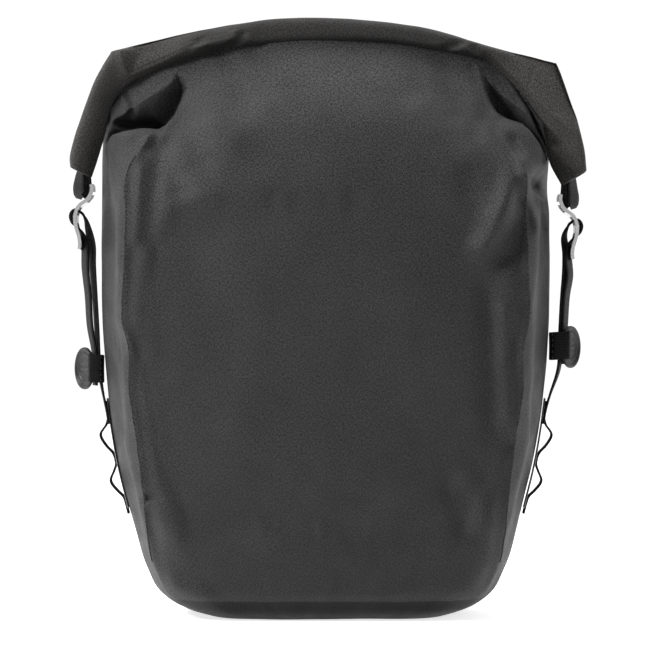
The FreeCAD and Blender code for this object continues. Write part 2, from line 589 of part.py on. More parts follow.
def anchor_slider():
    """Block on the lower rail with a post that the anchor hook turns on."""
    z = LOWER_RAIL_Z
    block = rail_clamp(0, ANCHOR_HALF, z, ANCHOR_BLOCK, ANCHOR_BLOCK)
    post = rod(ANCHOR_POST_R, (0, 91.9, z), (0, 98.8, z))
    return fuse(block, post).cut(rod(CLAMP_SCREW_R, (0, 87, z), (0, 99, z)))


def anchor_hook():
    """Turning hook that grips a rack strut: a hub on the slider's post, an arm and a half-round jaw."""
    z, half = LOWER_RAIL_Z, ANCHOR_JAW_TALL / 2
    hub_r, hub_start, hub_end = ANCHOR_HUB
    low = Vector(ANCHOR_JAW_X, STRUT_Y, z - half)
    hub = rod(hub_r, (0, hub_start, z), (0, hub_end, z))
    ring = Part.makeCylinder(STRUT_R + ANCHOR_JAW_WALL, 2 * half, low)
    ring = ring.common(box(0, 60, STRUT_Y - 3.5, 130, z - 20, z + 20))
    arm = box(5, ANCHOR_JAW_X, hub_start + 1, hub_end, z - half, z + half)
    hook = fuse(hub, arm, ring)
    strut = Part.makeCylinder(STRUT_R, 2 * half, low)
    return hook.cut([rod(ANCHOR_BORE_R, (0, 90, z), (0, 110, z)), strut])


def anchor_screw():
    z = LOWER_RAIL_Z
    screw = rod(CLAMP_SCREW_R, (0, 88, z), (0, 98.8, z)).fuse(rod(6.0, (0, 98.8, z), (0, 101.6, z)))
    return screw.cut(Part.makeBox(4, 2, 4, Vector(-2, 100.2, z - 2)))


# ---- build -----------------------------------------------------------------------------
def build():
    parts = {}
    walls = bag_walls(region_under_roll())
    base = everything(-120, 120, z1=BASE_HEIGHT)
    parts["base_panel"] = walls.common(base)
    upper = walls.cut(base)
    holes = [rod(RAIL_SCREW_R, (x, 60, RAIL_Z), (x, 90, RAIL_Z)) for x in RAIL_HOLES]
    holes += [rod(RAIL_SCREW_R, (x, 60, LOWER_RAIL_Z), (x, 90, LOWER_RAIL_Z)) for x in LOWER_RAIL_HOLES]
    front, back = panel_region(FRONT_SEAM, -120, ROLL_Y), panel_region(BACK_SEAM, ROLL_Y, 120)
    parts["front_panel"] = upper.common(front)
    parts["back_panel"] = upper.common(back).cut(group(holes))
    sides = upper.cut(front).cut(back)
    parts["left_gusset"] = sides.common(box(-250, 0, -150, 150, 0, 450))
    parts["right_gusset"] = sides.common(box(0, 250, -150, 150, 0, 450))
    parts["roll_top"], parts["roll_stiffener"] = roll_and_stiffener()

    plate = box(-PLATE_X, PLATE_X, *PLATE_Y, *PLATE_Z)
    plate = plate.makeFillet(PLATE_CORNER_R, [e for e in plate.Edges if abs(e.tangentAt(0).y) > 0.9])
    parts["back_plate"] = plate.cut(group(holes))

    for side, sign in SIDES.items():
        drop = HOOK_DROP[side]
        parts[f"closure_hook_{side}"] = closure_hook(sign, drop)
        parts[f"closure_loop_{side}"] = closure_loop(sign, drop)
        parts[f"strap_eye_{side}"] = strap_eye(side)
        parts[f"side_strap_{side}"] = side_strap(side)
        parts[f"strap_tail_{side}"] = strap_tail(side)
        parts[f"keeper_plate_{side}"], parts[f"keeper_sleeve_{side}"] = keeper(side)
        parts[f"daisy_chain_{side}"] = daisy_chain(side)
        parts[f"reflective_strip_{side}"] = reflective_strip(side)
        parts[f"rack_hook_{side}"] = rack_hook(sign)
        parts[f"hook_insert_{side}"] = hook_insert(sign)
        parts[f"clamp_screw_{side}"] = clamp_screw(sign)
        parts[f"latch_{side}"] = latch(sign)
        parts[f"latch_pin_{side}"] = latch_pin(sign)
        parts[f"latch_spring_{side}"] = latch_spring(sign)
        parts[f"pull_tab_{side}"] = pull_tab(sign)

    parts["top_rail"] = rail_profile(RAIL_LENGTH, RAIL_Z, RAIL_HOLES)
    parts["top_rail_screws"], parts["top_rail_nuts"] = rail_screws(RAIL_Z, RAIL_HOLES)
    parts["rail_end_caps"] = end_caps()
    parts["lower_rail"] = rail_profile(LOWER_RAIL_LENGTH, LOWER_RAIL_Z, LOWER_RAIL_HOLES)
    parts["lower_rail_screws"], parts["lower_rail_nuts"] = rail_screws(LOWER_RAIL_Z, LOWER_RAIL_HOLES)
    parts["handle_lugs"], parts["handle_pins"] = handle_lugs()
    parts["carry_handle"], parts["handle_grip"] = handle()
    parts["anchor_slider"] = anchor_slider()
    parts["anchor_hook"] = anchor_hook()
    parts["anchor_screw"] = anchor_screw()
    return parts


def save(parts):
    os.makedirs("parts", exist_ok=True)
    for name, shape in parts.items():
        shape.exportStep(f"parts/{name}.step")
        volume = round(shape.Volume / 1000, 2)
        print(name, "solids", len(shape.Solids), "valid", shape.isValid(), "cm3", volume)


save(build())
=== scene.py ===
import math

import bmesh
import bpy
import numpy as np
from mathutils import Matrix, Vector, noise


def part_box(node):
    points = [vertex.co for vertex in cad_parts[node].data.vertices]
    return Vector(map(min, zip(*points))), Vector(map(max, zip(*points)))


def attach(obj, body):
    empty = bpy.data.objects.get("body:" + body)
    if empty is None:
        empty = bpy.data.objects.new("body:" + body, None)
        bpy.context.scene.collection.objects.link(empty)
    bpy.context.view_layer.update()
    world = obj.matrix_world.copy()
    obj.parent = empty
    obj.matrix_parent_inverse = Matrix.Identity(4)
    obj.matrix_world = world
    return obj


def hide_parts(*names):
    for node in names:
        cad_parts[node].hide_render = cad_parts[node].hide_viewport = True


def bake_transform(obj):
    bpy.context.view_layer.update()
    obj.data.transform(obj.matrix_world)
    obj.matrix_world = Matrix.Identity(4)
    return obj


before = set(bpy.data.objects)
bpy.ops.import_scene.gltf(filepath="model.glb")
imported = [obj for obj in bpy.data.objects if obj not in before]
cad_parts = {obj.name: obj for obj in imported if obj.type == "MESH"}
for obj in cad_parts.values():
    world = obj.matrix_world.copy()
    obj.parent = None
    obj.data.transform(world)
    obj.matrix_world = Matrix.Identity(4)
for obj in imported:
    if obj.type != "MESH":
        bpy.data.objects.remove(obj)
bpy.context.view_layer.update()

# Looks of a roll-top pannier bag. Metres, the same frame as the CAD: the origin is the middle
# of the base, +Z is up, -Y is the front, +Y the side with the rack hardware.
MM = 0.001

# ---- bag shape
# height, half width, front and back face at the corners, outward bow of the front and back
SECTIONS = [
    (0.0, 86.0, -45.0, 54.0, 4.0, 2.0),
    (3.5, 98.0, -54.0, 64.0, 4.0, 2.0),
    (12.0, 112.5, -63.0, 73.0, 5.0, 0.5),
    (32.0, 125.5, -70.0, 77.0, 6.0, 0.6),
    (62.0, 135.0, -74.0, 77.4, 7.0, 0.4),
    (110.0, 147.0, -76.5, 77.6, 8.0, 0.2),
    (180.0, 155.5, -78.5, 77.6, 9.0, 0.2),
    (250.0, 158.0, -77.5, 77.6, 9.5, 0.2),
    (300.0, 157.5, -69.0, 77.4, 13.0, 0.4),
    (325.0, 157.5, -57.0, 70.0, 17.0, 4.0),
    (348.0, 157.0, -38.0, 46.0, 24.0, 16.0),
    (368.0, 156.0, -17.0, 19.0, 27.0, 26.0),
    (386.0, 154.5, -8.0, 12.0, 15.0, 13.0),
    (400.0, 151.0, -3.0, 6.5, 3.0, 2.0),
    (411.0, 149.0, 0.5, 4.0, 0.5, 0.5),
]
CORNER_R = (34.0, 20.0)  # front and back corners
ARCH_DROP = 31.0  # how far the roll's ends sit below its middle
ARCH_HALF = 138.0
ARCH_POWER = 2.5
ARCH_FROM, ARCH_TO = 328.0, 400.0  # heights over which the walls take up the arch
PLAIN_TOP = 290.0  # cloth rows are wide apart below this height, close above it
PLAIN_ROWS, FOLD_ROWS = 54, 58
FRONT_COLS, BACK_COLS, SIDE_COLS, CORNER_COLS = 90, 44, 16, 14
BASE_SEAM = 13.0  # rows below this height belong to the base, whose darker cloth is painted shade along the bottom edge

# seams between the front or back panel and the gussets: half distance at each height
FRONT_SEAM = [(8, 98), (20, 111), (38, 119), (56, 122), (85, 124.5), (128, 129.5), (164, 134.5),
              (185, 134.0), (206, 138.5), (244, 137.5), (277, 136.5), (312, 135), (330, 124),
              (348, 114), (368, 103), (384, 103), (411, 108)]
BACK_SEAM = [(8, 100), (20, 113), (38, 122), (66, 130), (110, 138), (160, 142), (240, 143),
             (310, 142), (345, 134), (375, 124), (411, 118)]

# hollows under the ends of the roll, where the gusset folds in behind the front panel: the
# front panel's free edge, and the line where the cloth goes up into the roll
HOLLOW_EDGE = {
    -1: [(-106, 384), (-100.4, 377), (-96.8, 368.6), (-100.4, 359.3), (-105, 348.7), (-110.9, 341.7),
         (-117, 339), (-128.5, 339.5), (-140, 337.5), (-148.5, 335), (-157, 325)],
    1: [(108.3, 384.5), (111, 368.6), (114, 359.5), (119, 351), (127, 346.3), (136.5, 343), (141.5, 338.5),
        (148.2, 328.8), (154, 318)],
}
HOLLOW_TOP = {
    -1: [(-158, 331), (-154.5, 342), (-152, 355), (-147, 364), (-140, 372), (-132, 377.5),
         (-121.5, 383), (-111, 388)],
    1: [(156, 325), (150.5, 339), (142, 357.5), (133, 371.5), (124, 382), (114, 390)],
}
# how far forward the cloth lies between the free edge (0) and the roll (1)
HOLLOW_PROFILE = [(0.0, -3.0), (0.10, -5.0), (0.28, -9.0), (0.5, -12.5), (0.78, -11.5), (1.0, 0.0)]
BEAD_REACH = (40.0, 322.0)  # heights between which the front seams stand out
BEAD_STEP, BEAD_WIDTH, BEAD_SUNK = 7.0, 1.6, 0.15
HOLLOW_STEP = 2.4  # width of the turned edge
HOLLOW_LIP = 1.8  # how far the free edge is rolled forward


def smoothstep(a, b, v):
    t = np.clip((v - a) / (b - a), 0.0, 1.0)
    return t * t * (3 - 2 * t)


def smooth_table(rows, at):
    """Columns of a table read at new values of its first column, along smooth curves."""
    rows = np.array(rows, float)
    keys = rows[:, 0]
    at = np.clip(np.asarray(at, float), keys[0], keys[-1])
    slopes = np.gradient(rows[:, 1:], keys, axis=0)
    i = np.clip(np.searchsorted(keys, at, side="right") - 1, 0, len(keys) - 2)
    h = (keys[i + 1] - keys[i])[..., None]
    t = ((at - keys[i])[..., None]) / h
    p0, p1 = rows[i, 1:], rows[i + 1, 1:]
    m0, m1 = slopes[i] * h, slopes[i + 1] * h
    leaving = (2 * t**3 - 3 * t**2 + 1) * p0 + (t**3 - 2 * t**2 + t) * m0
    return leaving + (3 * t**2 - 2 * t**3) * p1 + (t**3 - t**2) * m1


def arc_points(a, b, c, count):
    """Points on the arc from a through b to c, without its last point."""
    (ax, ay), (bx, by), (cx, cy) = a, b, c
    d = 2 * (ax * (by - cy) + bx * (cy - ay) + cx * (ay - by))
    if abs(d) < 1e-6:
        return [(ax + (cx - ax) * i / count, ay + (cy - ay) * i / count) for i in range(count)]
    a2, b2, c2 = (x * x + y * y for x, y in (a, b, c))
    ux = (a2 * (by - cy) + b2 * (cy - ay) + c2 * (ay - by)) / d
    uy = (a2 * (cx - bx) + b2 * (ax - cx) + c2 * (bx - ax)) / d
    r = math.hypot(ax - ux, ay - uy)
    t0, t1, t2 = (math.atan2(y - uy, x - ux) for x, y in (a, b, c))
    span, half = (t2 - t0) % (2 * math.pi), (t1 - t0) % (2 * math.pi)
    if half > span:
        span -= 2 * math.pi
    turns = [t0 + span * i / count for i in range(count)]
    return [(ux + r * math.cos(turn), uy + r * math.sin(turn)) for turn in turns]


def ring(half, front, back, front_bow, back_bow):
    """Outline of the bag at one height, counter-clockwise from the right end of the back face."""
    depth = back - front
    rf, rb = min(CORNER_R[0], 0.42 * depth), min(CORNER_R[1], 0.3 * depth)
    wf, wb = half - 0.05 * depth, half - 0.03 * depth
    cut = 1 - math.sqrt(0.5)
    mid = (front + rf + back - rb) / 2
    r = [(wb - rb, back), (wb - rb * cut, back - rb * cut), (wb, back - rb), (half, mid), (wf, front + rf),
         (wf - rf * cut, front + rf * cut), (wf - rf, front)]
    l = [(-x, y) for x, y in r[::-1]]
    arcs = [(r[0], r[1], r[2], CORNER_COLS), (r[2], r[3], r[4], SIDE_COLS), (r[4], r[5], r[6], CORNER_COLS),
            (r[6], (0, front - front_bow), l[0], FRONT_COLS), (l[0], l[1], l[2], CORNER_COLS),
            (l[2], l[3], l[4], SIDE_COLS), (l[4], l[5], l[6], CORNER_COLS),
            (l[6], (0, back + back_bow + 1e-3), r[0], BACK_COLS)]
    return [p for a, b, c, n in arcs for p in arc_points(a, b, c, n)]


def segment_field(x, z, x0, z0, x1, z1, width):
    """1 on the segment, falling off smoothly over the width, and to its ends."""
    dx, dz = x1 - x0, z1 - z0
    length2 = dx * dx + dz * dz
    t = np.clip(((x - x0) * dx + (z - z0) * dz) / length2, 0, 1)
    dist = np.hypot(x - x0 - t * dx, z - z0 - t * dz)
    return np.exp(-(dist / width) ** 2)


def inside_outline(x, z, outline):
    """True where a point lies inside a closed outline."""
    inside = np.zeros(np.shape(x), bool)
    for (x0, z0), (x1, z1) in zip(outline, outline[1:] + outline[:1]):
        crosses = (z0 > z) != (z1 > z)
        reach = x0 + (z - z0) * (x1 - x0) / (z1 - z0 if z1 != z0 else 1e-9)
        inside ^= crosses & (x < reach)
    return inside


def line_distance(x, z, line):
    """Distance to the nearest point of an open line."""
    best = np.full(np.shape(x), 1e9)
    for (x0, z0), (x1, z1) in zip(line, line[1:]):
        dx, dz = x1 - x0, z1 - z0
        t = np.clip(((x - x0) * dx + (z - z0) * dz) / (dx * dx + dz * dz), 0, 1)
        best = np.minimum(best, np.hypot(x - x0 - t * dx, z - z0 - t * dz))
    return best


# soft creases of the front: x0, z0, x1, z1, width, depth (negative stands out)
FRONT_CREASES = [
    (-66, 384, -58, 356, 10.0, 4.0), (-50, 396, -42, 374, 9.0, 3.0), (-90, 356, -66, 334, 14.0, -3.5),
    (-96, 340, -88, 318, 12.0, 2.5), (84, 382, 92, 352, 10.0, 3.0), (104, 338, 112, 352, 8.0, 3.5),
    (136, 314, 109, 257, 9.0, -8.0), (86, 330, 100, 296, 10.0, 2.0), (64, 350, 90, 316, 10.0, -3.0),
    (145, 300, 124, 252, 9.0, 7.0), (118, 338, 134, 322, 6.0, 3.0), (-116, 322, -121, 262, 7.0, 3.4),
    (-128, 318, -131, 262, 4.0, -2.4), (-112, 330, -102, 296, 10.0, 3.0),
    (-146, 322, -149, 296, 6.0, 6.0), (-148, 284, -150, 262, 5.0, 5.0),
    (-141, 300, -143, 250, 4.0, -2.5), (141, 302, 151, 272, 4.0, 5.0), (136, 306, 146, 270, 4.0, -4.0),
    (129, 330, 132, 290, 6.0, 3.4), (-116, 86, -128, 84, 3.5, 3.4), (-124, 84, -120, 62, 4.0, 2.4),
    (128, 120, 138, 118, 6.0, 3.0), (110, 226, 114, 130, 8.0, 3.0), (122, 214, 124, 140, 5.0, -2.4),
    (96, 100, 112, 66, 9.0, -2.4), (84, 92, 98, 60, 9.0, 2.2), (-96, 12, 96, 12, 5.0, 2.4),
    (-104, 26, -80, 15, 7.0, -2.4), (-118, 56, -96, 30, 9.0, 2.4), (-60, 120, 40, 96, 34.0, -3.0),
    (-20, 320, 60, 300, 36.0, 2.4), (-90, 250, -70, 190, 24.0, 2.2), (60, 230, 84, 170, 24.0, -2.2),
    (20, 60, 80, 40, 20.0, 2.0),
]
# sharp little folds inside the left hollow and on the left gusset: line, width, depth
SHARP_FOLDS = [
    ([(-145, 345.5), (-134, 343.5), (-121.5, 344.5), (-116.5, 341)], 3.2, 9.0),
    ([(-148, 336), (-128.5, 335), (-114, 333)], 5.0, -3.0),
    ([(-144, 365), (-140.5, 361), (-138.5, 356)], 2.4, -4.0),
    ([(-141, 365), (-136, 358), (-137, 350)], 3.0, 3.0),
    ([(118, 366), (128, 352)], 6.0, 5.0),
    ([(126, 378), (138, 362), (147, 343)], 3.0, -3.0),
]
# along each front seam, as depth, distance outward from the seam and width (negative depth stands out)
SEAM_CHANNEL = [(-1.5, 0.0, 2.0), (1.5, 8.0, 5.0), (1.1, -5.5, 3.4)]
GUSSET_DENT = [(-150, 194), (-142.5, 206), (-133.5, 189), (-141, 175)]
DENT_SLOPE, DENT_DEPTH = 1.1, 4.5
DENT_RIM = (0.7, 2.0)  # height and width of the ridge round the dent
SIDE_PINCH = (302.0, 9.0, 9.5)  # height, reach and depth of the right side's fold
FRONT_FADE = (6.0, -14.0)  # the front's relief fades in between these depths
SEAM_FADE_LOW, SEAM_FADE_TOP = (12, 30), (345, 325)
LIP_WIDTH = 3.5


def panel_relief(x, y, z, level):
    """How far the wall's front moves back for its seams, folds and hollows."""
    front = smoothstep(*FRONT_FADE, y)
    off = np.abs(x) - smooth_table(FRONT_SEAM, level)[..., 0]
    band = front * smoothstep(*SEAM_FADE_LOW, level) * smoothstep(*SEAM_FADE_TOP, level)
    for depth, out, width in SEAM_CHANNEL:
        y = y + band * depth * np.exp(-((off - out) / width) ** 2)
    for x0, z0, x1, z1, width, depth in FRONT_CREASES:
        y = y + front * depth * segment_field(x, z, x0, z0, x1, z1, width)
    dent = inside_outline(x, z, GUSSET_DENT)
    edge = line_distance(x, z, GUSSET_DENT + GUSSET_DENT[:1])
    rim, rim_width = DENT_RIM
    ridge = -rim * np.exp(-(edge / rim_width) ** 2)
    y = y + front * np.where(dent, np.minimum(edge * DENT_SLOPE, DENT_DEPTH), ridge)
    for side in (-1, 1):
        edge_line, top_line = HOLLOW_EDGE[side], HOLLOW_TOP[side]
        hollow = inside_outline(x, z, edge_line + top_line)
        from_edge = line_distance(x, z, edge_line)
        from_top = line_distance(x, z, top_line)
        share = from_edge / (from_edge + from_top + 1e-6)
        floor = smooth_table(HOLLOW_PROFILE, share)[..., 0]
        sunk = y + (floor - y) * smoothstep(0.0, HOLLOW_STEP, from_edge)
        lip = -HOLLOW_LIP * np.exp(-(from_edge / LIP_WIDTH) ** 2) * (front > 0.5)
        y = np.where(hollow, np.maximum(y, sunk), y + lip)
    for line, width, depth in SHARP_FOLDS:
        y = y + front * depth * np.exp(-(line_distance(x, z, line) / width) ** 2)
    return y


def wall_grid():
    """Points of the bag's wall, rows from the base to the roll, before the cloth settles."""
    start = np.array([0.0, 1.2, 3.0, 5.5])
    plain = np.linspace(8.5, PLAIN_TOP, PLAIN_ROWS, endpoint=False)
    keys = np.concatenate([start, plain, np.linspace(PLAIN_TOP, SECTIONS[-1][0], FOLD_ROWS)])
    sections = smooth_table(SECTIONS, keys)
    pts = np.array([[(x, y, z) for x, y in ring(*sec)] for sec, z in zip(sections, keys)])
    x, y, z = pts[..., 0], pts[..., 1], pts[..., 2].copy()
    level = z.copy()
    share = smoothstep(ARCH_FROM, ARCH_TO, z)
    z = z - share * ARCH_DROP * np.minimum(np.abs(x) / ARCH_HALF, 1.08) ** ARCH_POWER
    height, reach, depth = SIDE_PINCH
    fold = depth * smoothstep(140, 152, x) * smoothstep(30.0, -20.0, y)
    x = x - fold * np.exp(-((z - height) / reach) ** 2)
    return np.stack([x, y, z], axis=-1), level


def wander(points, scale, strength, seed):
    """Gentle unevenness along x, y and z, the same each run."""
    shift = Vector((seed * 3.1, seed * 7.7, seed * 1.3))
    out = np.empty_like(points)
    flat, flat_out = points.reshape(-1, 3), out.reshape(-1, 3)
    for i, p in enumerate(flat):
        flat_out[i] = p + np.array(noise.noise_vector(Vector(p) / scale + shift)) * strength
    return out


# ---- mesh helpers
def place_object(name, data):
    obj = bpy.data.objects.new(name, data)
    bpy.context.scene.collection.objects.link(obj)
    return obj


def new_object(name, verts, faces):
    mesh = bpy.data.meshes.new(name)
    mesh.from_pydata([tuple(v) for v in verts], [], faces)
    mesh.validate()
    mesh.polygons.foreach_set("use_smooth", [True] * len(mesh.polygons))
    return place_object(name, mesh)


def grid_object(name, grid, closed=False, uv=None, caps=False):
    """A quad sheet through a grid of points; closed joins its last column to its first."""
    rows, cols = grid.shape[:2]
    last = cols if closed else cols - 1
    faces = []
    for r in range(rows - 1):
        for c in range(last):
            n = (c + 1) % cols
            faces.append((r * cols + c, r * cols + n, (r + 1) * cols + n, (r + 1) * cols + c))
    if caps:
        faces.append(tuple(range(cols))[::-1])
        faces.append(tuple((rows - 1) * cols + c for c in range(cols)))
    obj = new_object(name, grid.reshape(-1, 3), faces)
    if uv is not None:
        layer = obj.data.uv_layers.new(name="Cloth")
        for poly in obj.data.polygons:
            cols_here = [v % cols for v in poly.vertices]
            wraps = max(cols_here) - min(cols_here) > cols // 2
            for loop, v in zip(poly.loop_indices, poly.vertices):
                u, w = uv[v // cols, v % cols]
                if wraps and v % cols == 0:
                    u = uv[v // cols, -1, 0] + uv[0, 1, 0] - uv[0, 0, 0]
                layer.data[loop].uv = (u, w)
    return obj


def recalc(obj, weld=False):
    """Turns the faces outward, after joining points that lie on each other if weld is set."""
    bm = bmesh.new()
    bm.from_mesh(obj.data)
    if weld:
        bmesh.ops.remove_doubles(bm, verts=bm.verts, dist=0.01 * MM)
    bmesh.ops.recalc_face_normals(bm, faces=bm.faces)
    bm.to_mesh(obj.data)
    bm.free()


def modifier(obj, kind, **settings):
    mod = obj.modifiers.new(kind.title(), kind)
    for key, value in settings.items():
        setattr(mod, key, value)
    return mod


def subdivide(obj, level=1):
    modifier(obj, "SUBSURF", levels=level, render_levels=level)


def apply_modifiers(obj):
    graph = bpy.context.evaluated_depsgraph_get()
    mesh = bpy.data.meshes.new_from_object(obj.evaluated_get(graph))
    obj.modifiers.clear()
    obj.data = mesh


def fit(obj, slot, body, *nodes):
    """Hides the CAD nodes a piece stands for and hangs the piece on its body. The slot argument is not
    used.
    """
    if nodes:
        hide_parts(*nodes)
    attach(obj, body)


# ---- materials
def add_node(tree, kind, **settings):
    node = tree.nodes.new(kind)
    for key, value in settings.items():
        setattr(node, key, value)
    return node


def set_range(node, *numbers):
    for name, number in zip(("From Min", "From Max", "To Min", "To Max"), numbers):
        node.inputs[name].default_value = number


class Nodes:
    """Small helper that adds and links shader nodes."""

    def __init__(self, name):
        self.material = bpy.data.materials.new(name)
        self.material.use_nodes = True
        self.tree = self.material.node_tree
        self.tree.nodes.clear()
        self.shader = self.add("ShaderNodeBsdfPrincipled")
        out = self.add("ShaderNodeOutputMaterial")
        self.link(self.shader.outputs[0], out.inputs["Surface"])

    def add(self, kind, **settings):
        return add_node(self.tree, kind, **settings)

    def link(self, a, b):
        self.tree.links.new(a, b)

    def feed(self, socket, value):
        if isinstance(value, bpy.types.NodeSocket):
            self.link(value, socket)
        else:
            socket.default_value = value

    def coords(self, stretch=(1, 1, 1), uv=None):
        if uv:
            source = self.add("ShaderNodeUVMap", uv_map=uv).outputs[0]
        else:
            source = self.add("ShaderNodeTexCoord").outputs["Object"]
        scale = self.add("ShaderNodeMapping")
        scale.inputs["Scale"].default_value = stretch
        self.link(source, scale.inputs["Vector"])
        return scale.outputs[0]

    def noise(self, vector, scale, detail=2.0, rough=0.5):
        node = self.add("ShaderNodeTexNoise")
        node.inputs["Scale"].default_value = scale
        node.inputs["Detail"].default_value = detail
        node.inputs["Roughness"].default_value = rough
        self.link(vector, node.inputs["Vector"])
        return node.outputs["Fac"]

    def wave(self, vector, scale, direction="X", distortion=0.0):
        node = self.add("ShaderNodeTexWave", bands_direction=direction)
        node.inputs["Scale"].default_value = scale
        node.inputs["Distortion"].default_value = distortion
        self.link(vector, node.inputs["Vector"])
        return node.outputs["Fac"]

    def math(self, operation, a, b=0.0):
        node = self.add("ShaderNodeMath", operation=operation)
        self.feed(node.inputs[0], a)
        self.feed(node.inputs[1], b)
        return node.outputs[0]

    def remap(self, value, low, high, to_low, to_high):
        node = self.add("ShaderNodeMapRange")
        self.link(value, node.inputs["Value"])
        set_range(node, low, high, to_low, to_high)
        return node.outputs[0]

    def mix(self, fac, a, b, blend="MIX"):
        node = self.add("ShaderNodeMix", data_type="RGBA", blend_type=blend)
        self.feed(node.inputs[0], fac)
        self.feed(node.inputs[6], a)
        self.feed(node.inputs[7], b)
        return node.outputs[2]

    def bump(self, height, distance, strength=1.0, under=None):
        node = self.add("ShaderNodeBump")
        node.inputs["Distance"].default_value = distance
        node.inputs["Strength"].default_value = strength
        self.link(height, node.inputs["Height"])
        if under is not None:
            self.link(under, node.inputs["Normal"])
        return node.outputs[0]

    def finish(self, color, roughness, normal=None, **constants):
        self.feed(self.shader.inputs["Base Color"], color)
        self.feed(self.shader.inputs["Roughness"], roughness)
        if normal is not None:
            self.link(normal, self.shader.inputs["Normal"])
        for key, value in constants.items():
            self.shader.inputs[key.replace("_", " ")].default_value = value
        return self.material


def rgba(r, g=None, b=None):
    return (r, r if g is None else g, r if b is None else b, 1.0)


def fabric_material(name, light, dark, uv="Cloth", thread=0.62 * MM, sheen=0.03, painted_light_gain=1.0, shine=0.36):
    """Fine two-tone laminate: slubby threads both ways over a soft mottle, with painted light making it
    paler far out along X.
    """
    n = Nodes(name)
    flat = n.coords(uv=uv)
    across = n.noise(n.coords((1.0, SLUB, 1.0), uv), 0.40 / thread, 1.0)
    along = n.noise(n.coords((SLUB, 1.0, 1.0), uv), 0.40 / thread, 1.0)
    heather = n.math("ADD", n.math("MULTIPLY", across, 0.5), n.math("MULTIPLY", along, 0.5))
    threads = n.remap(heather, 0.455, 0.545, 0.0, 1.0)
    mottle = n.remap(n.noise(flat, 26.0, 4.0, 0.6), 0.3, 0.7, 0.82, 1.12)
    side = n.add("ShaderNodeSeparateXYZ")
    n.link(n.coords(), side.inputs[0])
    outward = n.remap(n.math("ABSOLUTE", side.outputs["X"]), *PAINTED_LIGHT_REACH, 0.0, 1.0)
    color = n.mix(threads, rgba(*dark), rgba(*light))
    color = n.mix(outward, color, n.mix(1.0, color, rgba(painted_light_gain), "MULTIPLY"))
    color = n.mix(1.0, color, n.mix(mottle, rgba(0.0), rgba(1.0)), "MULTIPLY")
    weave = n.math("MULTIPLY", n.wave(flat, 0.32 / thread, "X"), n.wave(flat, 0.32 / thread, "Y"))
    fine = n.bump(n.math("ADD", weave, heather), 0.14 * MM, 0.7)
    soft = n.bump(n.noise(flat, 34.0, 3.0), 1.6 * MM, 0.4, fine)
    rough = n.remap(n.noise(flat, 60.0, 3.0), 0.3, 0.7, 0.52, 0.66)
    return n.finish(color, rough, soft, Sheen_Weight=sheen, Sheen_Roughness=0.5, Specular_IOR_Level=shine)


def webbing_material(name, base, light, pitch=1.5 * MM, along="Z", across="Y", uv=None):
    """Ribbed webbing: cords across the strap with a herringbone break, slightly dusty on its highs."""
    n = Nodes(name)
    place = n.coords(uv=uv)
    ribs = n.wave(place, 0.314 / pitch, along)
    cords = n.wave(place, 0.314 / (pitch * 0.9), across)
    weave = n.math("MULTIPLY", ribs, n.remap(cords, 0, 1, 0.45, 1.0))
    dust = n.noise(place, 420.0, 3.0)
    color = n.mix(n.math("MULTIPLY", weave, dust), rgba(*base), rgba(*light))
    normal = n.bump(weave, 0.28 * MM, 0.8)
    return n.finish(color, n.remap(dust, 0.3, 0.7, 0.62, 0.8), normal, Sheen_Weight=0.02,
                    Specular_IOR_Level=0.16)


def plastic_material(name, tint, grain=900.0):
    n = Nodes(name)
    place = n.coords()
    fine = n.noise(place, grain, 2.0)
    wear = n.noise(place, 70.0, 5.0, 0.65)
    color = n.mix(n.remap(wear, 0.45, 0.75, 0.0, 1.0), rgba(*tint), rgba(*(1.9 * t + 0.01 for t in tint)))
    rough = n.remap(wear, 0.3, 0.7, 0.38, 0.55)
    return n.finish(color, rough, n.bump(fine, 0.08 * MM, 0.5), Specular_IOR_Level=0.45)


def metal_material(name, tint, rough=(0.2, 0.38), lines=(1, 30, 1), metallic=1.0):
    n = Nodes(name)
    brushed = n.noise(n.coords(lines), 240.0, 3.0)
    smudge = n.noise(n.coords(), 60.0, 4.0)
    color = n.mix(n.remap(smudge, 0.35, 0.7, 0, 1), rgba(*tint), rgba(*(0.78 * t for t in tint)))
    normal = n.bump(brushed, 0.003 * MM, 0.1)
    uneven = n.math("ADD", n.math("MULTIPLY", brushed, 0.5), n.math("MULTIPLY", smudge, 0.5))
    return n.finish(color, n.remap(uneven, 0.3, 0.7, *rough), normal, Metallic=metallic)


def reflective_material():
    n = Nodes("reflective_tape")
    place = n.coords()
    cells = n.add("ShaderNodeTexVoronoi")
    cells.inputs["Scale"].default_value = 900.0
    n.link(place, cells.inputs["Vector"])
    color = n.mix(cells.outputs["Distance"], rgba(0.72), rgba(0.50))
    return n.finish(color, n.remap(n.noise(place, 120.0), 0.3, 0.7, 0.25, 0.45),
                    n.bump(cells.outputs["Distance"], 0.05 * MM, 0.5), Metallic=0.1)


SLUB = 2.6  # how much longer than wide the threads' flecks are
PAINTED_LIGHT_REACH = (95.0 * MM, 135.0 * MM)  # distance out from the middle where the painted light on the roll's ends begins and is full
